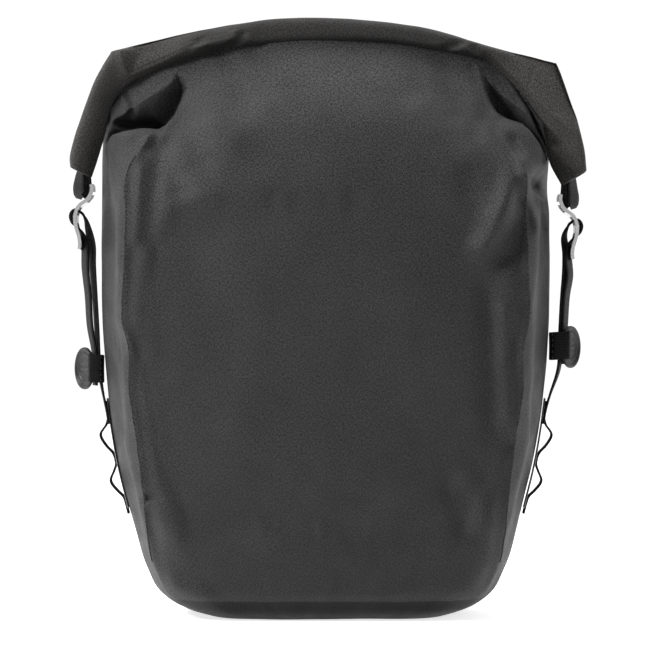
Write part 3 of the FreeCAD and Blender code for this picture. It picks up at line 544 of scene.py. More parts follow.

MATERIALS = {
    "bag": fabric_material("charcoal_laminate", (0.062, 0.0596, 0.0600), (0.0045, 0.0043, 0.0043)),
    # the base cloth is darker and less shiny than the walls: painted shade on the bag's bottom edge
    "base": fabric_material("base_laminate_painted_shade", (0.026, 0.0250, 0.0250), (0.004, 0.0038, 0.0038),
                            sheen=0.0, shine=0.24),
    # the roll's ends are multiplied 2.1 times paler: painted light where its wings face the lamps
    "roll": fabric_material("rolled_laminate", (0.048, 0.0451, 0.0436), (0.0085, 0.0077, 0.0073),
                            painted_light_gain=2.1),
    "webbing": webbing_material("black_webbing", (0.006, 0.006, 0.0062), (0.04, 0.04, 0.042)),
    "handle": webbing_material("handle_webbing", (0.006, 0.006, 0.0062), (0.036, 0.036, 0.038), along="X"),
    "strap": webbing_material("strap_webbing", (0.0045, 0.0045, 0.0047), (0.020, 0.020, 0.021),
                              along="Y", across="X", uv="Cloth"),
    "sleeve": webbing_material("sleeve_webbing", (0.007, 0.007, 0.0072), (0.022, 0.022, 0.023),
                               pitch=0.9 * MM, along="Y", across="X", uv="Cloth"),
    "keeper": plastic_material("keeper_plastic", (0.022, 0.0218, 0.0222)),
    "plastic": plastic_material("moulded_black", (0.010, 0.010, 0.0105)),
    "grey": plastic_material("insert_grey", (0.16, 0.16, 0.165)),
    "steel": metal_material("stamped_steel", (0.68, 0.68, 0.68), rough=(0.26, 0.36)),
    "screws": metal_material("plated_screws", (0.50, 0.50, 0.51), rough=(0.28, 0.5)),
    "rail": metal_material("anodised_rail", (0.045, 0.045, 0.048), rough=(0.32, 0.5), lines=(2, 60, 60),
                           metallic=0.9),
    "tape": reflective_material(),
    "thread": plastic_material("sewing_thread", (0.03, 0.03, 0.031), 2500.0),
}

NODE_LOOKS = {
    "webbing": ["pull_tab"],
    "steel": ["closure_hook"],
    "plastic": ["rack_hook", "latch", "anchor_slider", "anchor_hook", "rail_end_caps", "handle_lugs",
                "back_plate"],
    "grey": ["hook_insert"],
    "screws": ["clamp_screw", "latch_pin", "latch_spring", "top_rail_screws", "top_rail_nuts",
               "lower_rail_screws", "lower_rail_nuts", "handle_pins", "anchor_screw"],
    "rail": ["top_rail", "lower_rail"],
    "handle": ["carry_handle", "handle_grip"],
}


def dress_cad_nodes():
    """Every CAD node that stays visible gets its procedural material."""
    for look, stems in NODE_LOOKS.items():
        for node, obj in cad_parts.items():
            stem = node.rsplit("_", 1)[0] if node.endswith(("_left", "_right")) else node
            if stem in stems:
                obj.data.materials.clear()
                obj.data.materials.append(MATERIALS[look])


# ---- bag
def cloth_uv(grid):
    """Distance round and up the wall in metres, so that the weave keeps its size."""
    around = np.linalg.norm(np.diff(grid, axis=1), axis=2)
    u = np.concatenate([np.zeros((grid.shape[0], 1)), np.cumsum(around, axis=1)], axis=1)
    u = np.tile(u[PLAIN_ROWS], (grid.shape[0], 1))
    up = np.linalg.norm(np.diff(grid, axis=0), axis=2).mean(axis=1)
    v = np.concatenate([[0], np.cumsum(up)])[:, None] + np.zeros_like(u)
    return np.stack([u, v], axis=-1)


CLOTH = {"quality": 6, "mass": 0.25, "tension_stiffness": 22, "compression_stiffness": 22,
         "shear_stiffness": 8, "bending_stiffness": 0.8, "use_pressure": True,
         "uniform_pressure_force": 2.6, "pin_stiffness": 1.0}
CLOTH_FRAMES = 14
CLOTH_REACH = 4.0 * MM  # how far the cloth may move while it settles


def settle(obj, pinned):
    """Lets the shell swell and crease as cloth, held where it is pinned."""
    start = np.array([v.co for v in obj.data.vertices])
    group = obj.vertex_groups.new(name="held")
    for index, weight in pinned:
        group.add([index], weight, "REPLACE")
    mod = modifier(obj, "CLOTH")
    cloth = mod.settings
    for key, value in CLOTH.items():
        setattr(cloth, key, value)
    cloth.vertex_group_mass = "held"
    cloth.effector_weights.gravity = 0
    mod.collision_settings.use_collision = False
    for step in range(1, CLOTH_FRAMES + 1):
        bpy.context.scene.frame_set(step)
    apply_modifiers(obj)
    end = np.array([v.co for v in obj.data.vertices])
    move = end - start
    length = np.linalg.norm(move, axis=1, keepdims=True)
    move *= np.minimum(1.0, CLOTH_REACH / np.maximum(length, 1e-9))
    obj.data.vertices.foreach_set("co", (start + move).ravel())
    bpy.context.scene.frame_set(1)


# unevenness given to the settled wall and to the roll: size of the waves, height, seed
WALL_WAVES = [(0.075, 1.3 * MM, 3), (0.026, 0.45 * MM, 5)]
ROLL_WAVES = [(0.05, 0.9 * MM, 9), (0.016, 0.35 * MM, 4)]


def bag_shell():
    """The wall of the bag as cloth, then split at its seams into the panels it is sewn from."""
    grid, level = wall_grid()
    level = level.ravel()
    grid = grid * MM
    shell = grid_object("bag_wall", grid, closed=True, uv=cloth_uv(grid))
    keep = shell.data.attributes.new("level", "FLOAT", "POINT")
    keep.data.foreach_set("value", level.astype(np.float32))
    settle(shell, held_points(grid, level))
    points = np.array([v.co for v in shell.data.vertices])
    for waves in WALL_WAVES:
        points = wander(points, *waves)
    shell.data.vertices.foreach_set("co", points.ravel())
    subdivide(shell)
    apply_modifiers(shell)
    points = np.array([v.co for v in shell.data.vertices])
    level = np.zeros(len(points), np.float32)
    shell.data.attributes["level"].data.foreach_get("value", level)
    x, y, z = (points[:, i] / MM for i in range(3))
    points[:, 1] = panel_relief(x, y, z, level) * MM
    shell.data.vertices.foreach_set("co", points.ravel())
    seam_bead(points, level)
    return split_panels(shell, level)


def seam_bead(points, level):
    """The raised line of each front seam, laid on the settled wall."""
    for name, sign in (("left", -1), ("right", 1)):
        rows = []
        for height in np.arange(*BEAD_REACH, BEAD_STEP):
            aim = sign * smooth_table(FRONT_SEAM, height)[0]
            x, y = points[:, 0] / MM, points[:, 1] / MM
            far = np.hypot(x - aim, level - height) + np.where(y > 0, 1e3, 0.0)
            near = np.argsort(far)[:6]
            weight = 1.0 / (far[near] + 0.3)
            spot = (points[near] * weight[:, None]).sum(axis=0) / weight.sum() / MM
            rows.append((spot[0], spot[1] + BEAD_SUNK, spot[2], 0.0))
        bead = ribbon(f"front_seam_{name}", rows, MATERIALS["bag"], BEAD_WIDTH, BEAD_WIDTH)
        fit(bead, "bag_fabric", "bag")


SIDE_HELD = 1.6  # webbing is sewn where the side is this close to its widest
NECK_HELD, SEAM_HELD = 0.6, 0.9  # how firmly the roll and the front seams hold the cloth
NECK_FADE, FOOT_FADE, SEAM_REACH = (270, 350), (8, 70), 2.5
FIXED_BELOW, FIXED_ABOVE = 10, 392
BACK_PLATE_Y = 70.0  # the cloth behind this depth lies on the back plate


def held_points(grid, level):
    """Vertices the seams, the base and the roll hold while the cloth settles, with their weights."""
    seam = smooth_table(FRONT_SEAM, level)[:, 0]
    x = grid.reshape(-1, 3)[:, 0] / MM
    y = grid.reshape(-1, 3)[:, 1] / MM
    widest = np.abs(grid[..., 0]).max(axis=1, keepdims=True) / MM
    outline = (np.abs(grid[..., 0]) / MM > widest - SIDE_HELD).ravel()
    held = np.maximum(NECK_HELD * smoothstep(*NECK_FADE, level), 1.0 - smoothstep(*FOOT_FADE, level))
    held = np.where((np.abs(np.abs(x) - seam) < SEAM_REACH) & (y < 0), SEAM_HELD, held)
    fixed = (level < FIXED_BELOW) | (level > FIXED_ABOVE) | (y > BACK_PLATE_Y) | outline
    held = np.where(fixed, 1.0, held)
    return [(int(i), float(held[i])) for i in np.nonzero(held)[0]]


def split_panels(shell, level):
    """One object for each sewn panel."""
    names = ["front_panel_cloth", "back_panel_cloth", "left_gusset_cloth", "right_gusset_cloth",
             "base_cloth"]
    centers = np.array([p.center for p in shell.data.polygons]) / MM
    level = np.array([level[list(p.vertices)].mean() for p in shell.data.polygons])
    front_seam = smooth_table(FRONT_SEAM, level)[:, 0]
    back_seam = smooth_table(BACK_SEAM, level)[:, 0]
    side = np.abs(centers[:, 0])
    zone = np.where(centers[:, 0] < 0, 2, 3)
    zone = np.where((centers[:, 1] < 2) & (side < front_seam), 0, zone)
    zone = np.where((centers[:, 1] >= 2) & (side < back_seam), 1, zone)
    zone = np.where(level < BASE_SEAM, 4, zone)
    panels = []
    for number, name in enumerate(names):
        piece = shell.copy()
        piece.data = shell.data.copy()
        piece.name = piece.data.name = name
        bpy.context.scene.collection.objects.link(piece)
        bm = bmesh.new()
        bm.from_mesh(piece.data)
        bm.faces.ensure_lookup_table()
        drop = [f for f, z in zip(bm.faces, zone) if z != number]
        bmesh.ops.delete(bm, geom=drop, context="FACES")
        bm.to_mesh(piece.data)
        bm.free()
        piece.data.materials.clear()
        piece.data.materials.append(MATERIALS["base" if name == "base_cloth" else "bag"])
        panels.append(piece)
    bpy.data.objects.remove(shell)
    return panels


# ---- rolled closure
# pairs of points on the roll's outer and inner outline, from its left end to its right end
ROLL_PAIRS = [
    ((-179.2, 313.5), (-164.8, 306.5)), ((-179.4, 322), (-161.5, 316)), ((-176, 335.8), (-157.5, 329)),
    ((-170.7, 352.2), (-154, 341)), ((-164.3, 370.4), (-151.5, 354)), ((-157.8, 384.5), (-147.5, 363)),
    ((-152.2, 394), (-144, 368)), ((-150.3, 395.8), (-140, 371)), ((-143, 397.7), (-132, 376.2)),
    ((-123.8, 402.8), (-118, 382.5)), ((-95.7, 409.4), (-92, 392)), ((-67.5, 414.8), (-63, 398.3)),
    ((-39.4, 418.2), (-36, 400.5)), ((-11.3, 419.6), (-10, 401.7)), ((16.9, 418.8), (17, 402.2)),
    ((45, 416.2), (45, 401.5)), ((73.2, 412), (73, 397)), ((90, 407.2), (87, 394.8)),
    ((107, 401.7), (103, 392.2)), ((129.4, 395.4), (118, 385)), ((152, 389.8), (130, 372.5)),
    ((159.8, 387.9), (134.5, 367)), ((162, 386.2), (139, 359.5)), ((167, 373), (144, 350.5)),
    ((171.6, 359.5), (149, 339.5)), ((176.4, 346.3), (153.5, 328)), ((180.4, 328.8), (158, 315)),
    ((182.6, 310), (165.8, 300.5)),
]
ROLL_TABLE = [(i, *outer, *inner) for i, (outer, inner) in enumerate(ROLL_PAIRS)]
BATTEN_SPAN = (9.4, 18.4)  # first and last pair the slat reaches
SLAT = (11.0, 2.4)  # height and thickness of the slat
SLAT_STEPS, SLAT_DROP = 60, 1.0
ROLL_STEPS = 260
ROLL_SIDES = 80
ROLL_Y = 2.0
ROLL_DEPTH = 9.5  # half thickness front to back, in the middle
WING_DEPTH = 5.2  # and near the ends, where the cloth is only folded
# upper corner flaps of the last turn, which lie flatter and further back than the rolled band:
# the fold line each begins at, the points that close its outline, and its slope off that line
CORNER_FLAPS = [
    ([(-143.9, 401), (-139.5, 387.4), (-136.7, 381.5), (-115, 391), (-94, 400.5), (-66, 408)],
     [(-60, 424), (-144, 424)], 0.06),
    ([(100, 412), (114, 398.5), (127, 387), (141.2, 374.5), (159.9, 355), (178, 340)],
     [(192, 360), (190, 412)], 0.10),
]
BAND_RISE = 3.2  # how far the band stands forward beside a flap
FLAP_STEP = 2.6  # how far a flap is set back along its edge
FLAP_FOLD = 2.8  # and the distance over which it drops there
FOLD_GROOVE = 2.0  # depth of the fine line along the fold
WING_CURL = 14.4  # how far the roll's ends curl forward
CURL_REACH = (105.0, 195.0)
WING_REACH = (88.0, 135.0)  # distance from the middle over which the roll flattens
WING_TAPER = 0.35  # how much thicker a wing's outer edge is
ROLL_SQUARE = 0.85  # below 1 the roll's section is fuller than an ellipse
FRONT_FACE = -0.25  # share of the depth in front of which folds are pressed in
BAND_WIDTH, GROOVE_WIDTH = 7.0, 1.8
# folds and tucks on the band: line, width, depth (positive goes back)
BAND_FOLDS = [
    ([(-96, 396), (-87, 404)], 2.4, 1.8), ([(-92, 398.5), (-84, 400.5)], 2.4, -1.4),
    ([(-64, 401.5), (-58, 408)], 2.4, 2.6), ([(-79, 395.5), (-64, 401)], 3.0, 3.4),
    ([(-56, 408), (-46, 400)], 3.0, -1.6), ([(-132, 386), (-104, 397)], 3.2, -0.8),
    ([(82, 397), (95, 401.5)], 2.8, 3.0), ([(95, 402), (103, 394)], 2.6, -1.8),
    ([(104, 399), (111, 390.5)], 2.4, 1.8), ([(113, 393), (117, 386)], 2.4, 1.6),
    ([(112, 394), (131, 378), (146, 361), (156, 338)], 3.2, -1.0),
    ([(-150, 363), (-156, 345), (-162, 322)], 4.0, 0.9), ([(134, 382), (141, 376)], 1.2, 0.4),
    ([(147, 385), (143, 373)], 1.2, 0.4), ([(160, 352), (172, 318)], 4.0, 0.8),
]


def roll_front(x, z, y):
    """Front face of the roll with its corner flaps set back and its folds pressed in."""
    for fold, rest, slope in CORNER_FLAPS:
        edge = line_distance(x, z, fold)
        inside = inside_outline(x, z, fold + rest)
        set_back = FLAP_STEP * smoothstep(0.0, FLAP_FOLD, edge) + slope * edge
        y = y + np.where(inside, set_back, 0.0) - BAND_RISE * np.exp(-(edge / BAND_WIDTH) ** 2)
        y = y + FOLD_GROOVE * np.exp(-(edge / GROOVE_WIDTH) ** 2)
    for line, width, depth in BAND_FOLDS:
        y = y + depth * np.exp(-(line_distance(x, z, line) / width) ** 2)
    return y


def squared_off(wave, power):
    """A sine or cosine made fuller, so that it draws a rounded box instead of a circle."""
    return np.sign(wave) * np.abs(wave) ** power


def roll():
    """The rolled neck: an oval roll along an arch that flattens into folded cloth towards its ends."""
    stations = np.linspace(0, len(ROLL_PAIRS) - 1, ROLL_STEPS)
    ox, oz, ix, iz = smooth_table(ROLL_TABLE, stations).T[:, :, None]
    wing = smoothstep(*WING_REACH, np.abs(ox + ix) / 2)
    a = np.linspace(0, 2 * math.pi, ROLL_SIDES, endpoint=False)[None, :]
    # round section in the middle; at the ends its outer edge stands forward
    up, out = (squared_off(wave, ROLL_SQUARE) for wave in (np.cos(a), np.sin(a)))
    depth = ROLL_DEPTH + (WING_DEPTH * (0.95 + WING_TAPER * up) - ROLL_DEPTH) * wing
    x = (ox + ix) / 2 + (ox - ix) / 2 * up
    z = (oz + iz) / 2 + (oz - iz) / 2 * up
    y = ROLL_Y + depth * out
    y = np.where(out < FRONT_FACE, roll_front(x, z, y), y)
    y = y - WING_CURL * smoothstep(*CURL_REACH, np.abs(x))
    grid = np.stack([x, y, z], axis=-1)
    along = np.concatenate([[0], np.cumsum(np.linalg.norm(np.diff(grid.mean(axis=1), axis=0), axis=1))])
    turn = np.cumsum(np.linalg.norm(np.diff(grid, axis=1, prepend=grid[:, :1]), axis=2), axis=1)
    uv = np.stack([turn, np.tile(along[:, None], (1, ROLL_SIDES))], axis=-1) * MM
    grid = grid * MM
    for waves in ROLL_WAVES:
        grid = wander(grid, *waves)
    obj = grid_object("rolled_neck", grid, closed=True, uv=uv[..., ::-1], caps=True)
    recalc(obj)
    subdivide(obj)
    obj.data.materials.append(MATERIALS["roll"])
    return obj


def batten():
    """The stiff slat rolled up inside the neck."""
    first, last = BATTEN_SPAN
    ox, oz, ix, iz = smooth_table(ROLL_TABLE, np.linspace(first, last, SLAT_STEPS)).T
    y, turn = np.full(SLAT_STEPS, ROLL_Y), np.zeros(SLAT_STEPS)
    rows = np.stack([(ox + ix) / 2, y, (oz + iz) / 2 - SLAT_DROP, turn], axis=-1)
    slat = ribbon("roll_slat", rows, MATERIALS["plastic"], *SLAT)
    fit(slat, "moulded_black", "bag", "roll_stiffener")


# ---- straps
SIDES = {"left": -1.0, "right": 1.0}
HOOK_DROP = {"left": 0.0, "right": -7.0}
STRAP_OUT = {"left": 0.0, "right": 4.0}
TAIL_GAP = {"left": 4.6, "right": 2.4}  # from a side strap to its loose tail, half way up
KEEPER_Z = {"left": 173.0, "right": 188.0}
WEBBING, WEBBING_W = 1.7, 20.0
EDGE_ROUND, CROWN = 0.45, 1.02  # rounding of a strap's edges, and how much fuller its middle is
KEEPER_TURN = 34.0  # the keepers face this far round to the front, degrees


def smooth_path(points, step=1.5):
    """Evenly spaced points, in millimetres, on a smooth curve through the given ones."""
    points = np.array(points, float)
    chord = np.concatenate([[0], np.cumsum(np.linalg.norm(np.diff(points, axis=0), axis=1))])
    table = np.concatenate([chord[:, None], points], axis=1)
    fine = smooth_table(table, np.linspace(0, chord[-1], 600))
    run = np.concatenate([[0], np.cumsum(np.linalg.norm(np.diff(fine, axis=0), axis=1))])
    at = np.linspace(0, run[-1], max(3, int(run[-1] / step)))
    return np.stack([np.interp(at, run, fine[:, k]) for k in range(fine.shape[1])], axis=1), at


def ribbon(name, rows, material, width=WEBBING_W, thick=WEBBING):
    """A flat strap along rows of x, y, z and turn, its width along Y turned about Z by turn degrees."""
    path, along = smooth_path(rows)
    spots, turn = path[:, :3], np.radians(path[:, 3])
    tangent = np.gradient(spots, axis=0)
    tangent /= np.linalg.norm(tangent, axis=1, keepdims=True)
    across = np.stack([-np.sin(turn), np.cos(turn), np.zeros_like(turn)], axis=1)
    across -= tangent * np.sum(across * tangent, axis=1, keepdims=True)
    across /= np.linalg.norm(across, axis=1, keepdims=True)
    out = np.cross(across, tangent)
    w, t, r = width / 2, thick / 2, thick * EDGE_ROUND
    low = [(-w, -t + r), (-w + r * 0.6, -t), (-w * 0.5, -t * CROWN), (0, -t * CROWN),
           (w * 0.5, -t * CROWN), (w - r * 0.6, -t), (w, -t + r)]
    outline = low + [(-a, -b) for a, b in low]
    grid = np.stack([spots + across * a + out * b for a, b in outline], axis=1)
    across_uv = np.tile([a for a, _ in outline], (len(spots), 1))
    uv = np.stack([across_uv, np.tile(along[:, None], (1, len(outline)))], axis=-1)
    obj = grid_object(name, grid * MM, closed=True, uv=uv * MM, caps=True)
    recalc(obj)
    obj.data.materials.append(material)
    return obj


def strap_x(side, z):
    return 160.6 + STRAP_OUT[side] + 0.062 * (z - 190)


def strap_rows(side):
    """Route of one side strap: up from its tack, round the hook's bar, and down as the loose tail."""
    drop, keeper, out = HOOK_DROP[side], KEEPER_Z[side], STRAP_OUT[side]
    up = [(152.6, 134, 1), (153.9, 142, 2), (156.6 + 0.2 * out, 154, 4), (strap_x(side, 172), 172, 8),
          (strap_x(side, 200), 200, 10), (strap_x(side, 225), 225, 11),
          (strap_x(side, 244) + 0.4, 246 + drop, 14), (strap_x(side, 250) + 0.8, 260 + drop, 17),
          (167.6, 272 + drop, 12), (169.6, 278.5 + drop, 5)]
    bend = [(172.4, 282.6 + drop, 0), (176.6, 284.4 + drop, 0), (179.4, 281 + drop, 0),
            (178.6, 276 + drop, 0), (175.0, 272.0 + drop, 3), (171.4, 267 + drop, 9)]
    tail = [strap_x(side, z) + TAIL_GAP[side] for z in (246, 224, 203)]
    down = [(169.4 + 0.2 * out, 258 + drop, 16), (tail[0] + 0.8, 246 + drop, 15), (tail[1], 224, 14),
            (tail[2], 203, 13), (strap_x(side, keeper) + 3.0, keeper + 8, 11),
            (strap_x(side, keeper) + 2.8, keeper - 12, 10)]
    sign = SIDES[side]
    return [(sign * x, 0.0, z, -sign * turn) for x, z, turn in up + bend + down]


def side_straps():
    for side in SIDES:
        strap = ribbon(f"side_strap_webbing_{side}", strap_rows(side), MATERIALS["strap"])
        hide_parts(f"side_strap_{side}", f"strap_eye_{side}", f"strap_tail_{side}")
        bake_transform(strap)


LOOP_ROUTE = [(168.9, 313, 16), (168.9, 305, 22), (169.1, 299, 25), (169.9, 295.2, 25), (171.5, 293.8, 25),
              (173.0, 295.2, 25), (173.8, 299.5, 25), (173.2, 306, 22), (171.8, 314, 16)]


def closure_loops():
    """The webbing loops that hang from the roll's ends and carry the hooks."""
    for side, sign in SIDES.items():
        drop = HOOK_DROP[side]
        rows = [(sign * x, 0.0, z + drop * smoothstep(314, 304, z), -sign * turn)
                for x, z, turn in LOOP_ROUTE]
        loop = ribbon(f"closure_loop_webbing_{side}", rows, MATERIALS["strap"])
        fit(loop, "webbing", "bag", f"closure_loop_{side}")


# half width of the bag's side at each height, for what is sewn on it
SIDE_LINE = [(60, 134.6), (75, 138.6), (90, 142.4), (107, 146.4), (123, 149.4), (138, 151.6),
             (150, 153.2), (170, 155.0)]
DAISY_ROUTE = [(150, 1.3), (140, 1.2), (134, 3.2), (126.5, 8.6), (119, 6.0), (113, 1.8), (109.5, 1.2),
               (106, 1.4), (101, 4.0), (94, 8.0), (87.5, 5.2), (82.5, 1.6), (78, 1.2), (71, 1.2)]
DAISY_WEB = (15.0, 1.15)  # width and thickness of the daisy chain's webbing
TAPE = (16.0, 0.5)
TAPE_ROUTE = [(z, 0.35) for z in (152, 130, 105, 75)]


def side_ribbons(stem, route, material, slot, node, size):
    """A strip sewn up both sides of the bag, at the given distances off the side."""
    for side, sign in SIDES.items():
        rows = [(sign * (smooth_table(SIDE_LINE, z)[0] + off), 0.0, z, 0.0) for z, off in route]
        strip = ribbon(f"{stem}_{side}", rows, MATERIALS[material], *size)
        fit(strip, slot, "bag", f"{node}_{side}")


SLEEVE_BOX = {"left": (161.7, 5.5, 173.0), "right": (164.4, 7.4, 189.0)}  # centre, half width, height
SLEEVE_TALL, SLEEVE_DEEP, SLEEVE_THICK = 19.5, 12.6, 1.3
SLEEVE_SQUARE, SLEEVE_TILT = 0.45, 0.06
# section of its wall: height as a share of the sleeve's, distance in from the outside in thicknesses
SLEEVE_WALL = [(-0.5, 0.3), (-0.47, 0.0), (0.0, 0.12), (0.47, 0.0), (0.5, 0.3), (0.5, 1.0),
               (0.47, 1.3), (-0.47, 1.3), (-0.5, 1.0)]


def keeper_sleeves():
    """Flat sleeves that hold a side strap's two plies together."""
    around = 56
    for side, sign in SIDES.items():
        middle, half, height = SLEEVE_BOX[side]
        a = np.linspace(0, 2 * math.pi, around, endpoint=False)
        ca, sa = (squared_off(wave, SLEEVE_SQUARE) for wave in (np.cos(a), np.sin(a)))
        rings = []
        for z, inset in SLEEVE_WALL:
            gap = inset * SLEEVE_THICK
            tall = height + z * SLEEVE_TALL + SLEEVE_TILT * sign * half * ca
            x = sign * middle + (half - gap) * ca
            rings.append(np.stack([x, (SLEEVE_DEEP - gap) * sa, tall], axis=-1))
        rings.append(rings[0])
        grid = np.array(rings)
        run = np.linspace(0, 2 * (SLEEVE_DEEP + half), around)
        uv = np.stack([np.tile(run, (len(rings), 1)), np.linspace(0, 2 * SLEEVE_TALL, len(rings))[:, None]
                       + np.zeros((len(rings), around))], axis=-1)
        sleeve = grid_object(f"keeper_band_{side}", grid * MM, closed=True, uv=uv * MM)
        recalc(sleeve, weld=True)
        sleeve.data.materials.append(MATERIALS["sleeve"])
        fit(sleeve, "webbing", "bag", f"keeper_sleeve_{side}")


# half section of a keeper from its middle outwards: share of its size, height
KEEPER_PROFILE = [(0.0, 0.6), (0.15, 0.6), (0.30, 0.55), (0.45, 0.7), (0.56, 0.6), (0.62, 1.2),
                  (0.68, 1.9), (0.74, 1.2), (0.79, 0.9), (0.84, 1.9), (0.90, 2.7), (0.96, 2.6),
                  (1.0, 1.9), (1.0, 0.2), (0.97, -0.5), (0.0, -0.5)]
KEEPER_HALF = (12.4, 14.9)  # half width and half height
RIB_HEIGHT, RIB_COUNT, FIELD = 0.35, 26, 0.56  # ribs inside this share of the keeper


def keeper_plates():
    """Oval moulded keepers: a raised rim, a groove, and a ribbed field."""
    half_wide, half_tall = KEEPER_HALF
    around = 64
    for side, sign in SIDES.items():
        low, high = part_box(f"keeper_plate_{side}")
        centre = (low + high) / 2
        turn = math.radians(KEEPER_TURN)
        normal = Vector((sign * math.cos(turn), -math.sin(turn), 0))
        across = Vector((sign * math.sin(turn), math.cos(turn), 0))
        grid = np.zeros((len(KEEPER_PROFILE), around, 3))
        for i, (share, height) in enumerate(KEEPER_PROFILE):
            size = max(share, 0.004) * MM
            ribbed = RIB_HEIGHT if share < FIELD and height > 0 else 0.0
            for k in range(around):
                a = 2 * math.pi * k / around
                rise = height + ribbed * math.cos(share * math.sin(a) * RIB_COUNT)
                spot = centre + across * (half_wide * size * math.cos(a)) + normal * (rise * MM)
                grid[i, k] = spot + Vector((0, 0, half_tall * size * math.sin(a)))
        plate = grid_object(f"keeper_oval_{side}", grid, closed=True, caps=True)
        recalc(plate)
        subdivide(plate)
        plate.data.materials.append(MATERIALS["keeper"])
        fit(plate, "moulded_black", f"keeper_{side}", f"keeper_plate_{side}")


# ---- stitches
STITCH = {"Pitch": 3.3 * MM, "Length": 2.6 * MM, "Thickness": 0.55 * MM}
STITCH_SIDES, STITCH_RINGS = 6, 4
TACK_HEIGHTS = (145.0, 110.0, 77.0)  # where the daisy chain is sewn down
TACK_HALF = 5.6  # half the length of a stitched row
TACK_ROWS = (-1.7, 1.7)
SLEEVE_SEAM = (1.5, 0.42)  # in from the sleeve's edges, and its half length as a share
TAB_SEAM, TAB_ROWS = 6.5, (1.7, 20.3)
GRIP_ROWS = (-5.0, 5.0)


def stitch_tree():
    """Geometry nodes that lay short thread stitches end to end along any line."""
    tree = bpy.data.node_groups.new("stitches", "GeometryNodeTree")
    sockets = [("Line", "INPUT", "Geometry"), ("Pitch", "INPUT", "Float"), ("Length", "INPUT", "Float"),
               ("Thickness", "INPUT", "Float"), ("Thread", "INPUT", "Material"),
               ("Seam", "OUTPUT", "Geometry")]
    for name, way, kind in sockets:
        tree.interface.new_socket(name, in_out=way, socket_type="NodeSocket" + kind)

    def add(kind, **settings):
        return add_node(tree, kind, **settings)

    given, result = add("NodeGroupInput"), add("NodeGroupOutput")
    curve = add("GeometryNodeMeshToCurve")
    spots = add("GeometryNodeCurveToPoints", mode="LENGTH")
    bead = add("GeometryNodeMeshUVSphere")
    bead.inputs["Segments"].default_value = STITCH_SIDES
    bead.inputs["Rings"].default_value = STITCH_RINGS
    bead.inputs["Radius"].default_value = 0.5
    size = add("ShaderNodeCombineXYZ")
    place = add("GeometryNodeInstanceOnPoints")
    real = add("GeometryNodeRealizeInstances")
    dress = add("GeometryNodeSetMaterial")
    links = [
        (given, "Line", curve, "Mesh"), (curve, "Curve", spots, "Curve"), (given, "Pitch", spots, "Length"),
        (given, "Thickness", size, "X"), (given, "Thickness", size, "Y"), (given, "Length", size, "Z"),
        (spots, "Points", place, "Points"), (bead, "Mesh", place, "Instance"),
        (spots, "Rotation", place, "Rotation"), (size, 0, place, "Scale"),
        (place, "Instances", real, "Geometry"), (real, "Geometry", dress, "Geometry"),
        (given, "Thread", dress, "Material"), (dress, "Geometry", result, "Seam"),
    ]
    for start, given_out, end, taken_in in links:
        tree.links.new(start.outputs[given_out], end.inputs[taken_in])
    return tree


def sew(tree, name, lines, body):
    """Stitches along straight lines, each a pair of ends in metres, as one plain mesh."""
    mesh = bpy.data.meshes.new(name)
    edges = [(2 * i, 2 * i + 1) for i in range(len(lines))]
    mesh.from_pydata([end for line in lines for end in line], edges, [])
    seam = place_object(name, mesh)
    mod = modifier(seam, "NODES", node_group=tree)
    values = dict(STITCH, Thread=MATERIALS["thread"])
    for item in tree.interface.items_tree:
        if item.name in values:
            mod[item.identifier] = values[item.name]
    apply_modifiers(seam)
    seam.data.polygons.foreach_set("use_smooth", [True] * len(seam.data.polygons))
    fit(seam, "webbing", body)


def stitches():
    """Rows of thread where webbing is sewn: daisy chains, keeper bands, handle grip and pull tabs."""
    tree = stitch_tree()
    off = smooth_table([(z, d) for z, d in DAISY_ROUTE[::-1]], np.array(TACK_HEIGHTS))[:, 0]
    for side, sign in SIDES.items():
        lines = []
        for z, d in zip(TACK_HEIGHTS, off):
            for row in TACK_ROWS:
                x = sign * (smooth_table(SIDE_LINE, z + row)[0] + d + DAISY_WEB[1] / 2 + 0.1) * MM
                lines.append([(x, y * MM, (z + row) * MM) for y in (-TACK_HALF, TACK_HALF)])
        middle, half, height = SLEEVE_BOX[side]
        inset, face, reach = half - SLEEVE_SEAM[0], -(SLEEVE_DEEP - 0.2) * MM, SLEEVE_SEAM[1] * SLEEVE_TALL
        for x in (middle - inset, middle + inset):
            lines.append([(sign * x * MM, face, z * MM) for z in (height - reach, height + reach)])
        sew(tree, f"webbing_stitches_{side}", lines, "bag")
        low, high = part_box(f"pull_tab_{side}")
        middle_x = (low.x + high.x) / 2
        ends = (middle_x - TAB_SEAM * MM, middle_x + TAB_SEAM * MM)
        lines = [[(x, high.y, high.z - gap * MM) for x in ends] for gap in TAB_ROWS]
        sew(tree, f"pull_tab_stitches_{side}", lines, f"pull_tab_{side}")
    low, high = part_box("handle_grip")
    middle_y = (low.y + high.y) / 2
    ends = (low.x + 2 * MM, high.x - 2 * MM)
    lines = [[(x, middle_y + gap * MM, z) for x in ends] for gap in GRIP_ROWS for z in (low.z, high.z)]
    sew(tree, "grip_stitches", lines, "handle")


# ---- light, floor, camera
VIEW_WIDTH = 0.458  # width seen at the bag, metres
VIEW_DISTANCE = 2.6
VIEW_CENTRE = (-0.0004, 0.2031)
SENSOR = 36.0
FLOOR_GLOW = 0.72  # keeps the floor near white out to the horizon
ROOM_FRONT, ROOM_BACK = 0.20, 1.04  # brightness of the room in front of the bag and behind it
ROOM_TURN = (-0.35, 0.45)  # directions along Y between which it changes
FLOOR_HALF, FLOOR_Z = 6, -0.0002
# name, place, aim, size, watts
LAMPS = [("key", (-2.0, -1.0, 1.8), (0, 0, 0.22), (0.8, 0.8), 60),
         ("top", (0.15, 0.0, 2.0), (0, 0, 0.2), (1.2, 0.8), 8.5),
         ("rim", (1.8, -0.7, 1.3), (0, 0, 0.25), (0.6, 0.6), 3.0)]


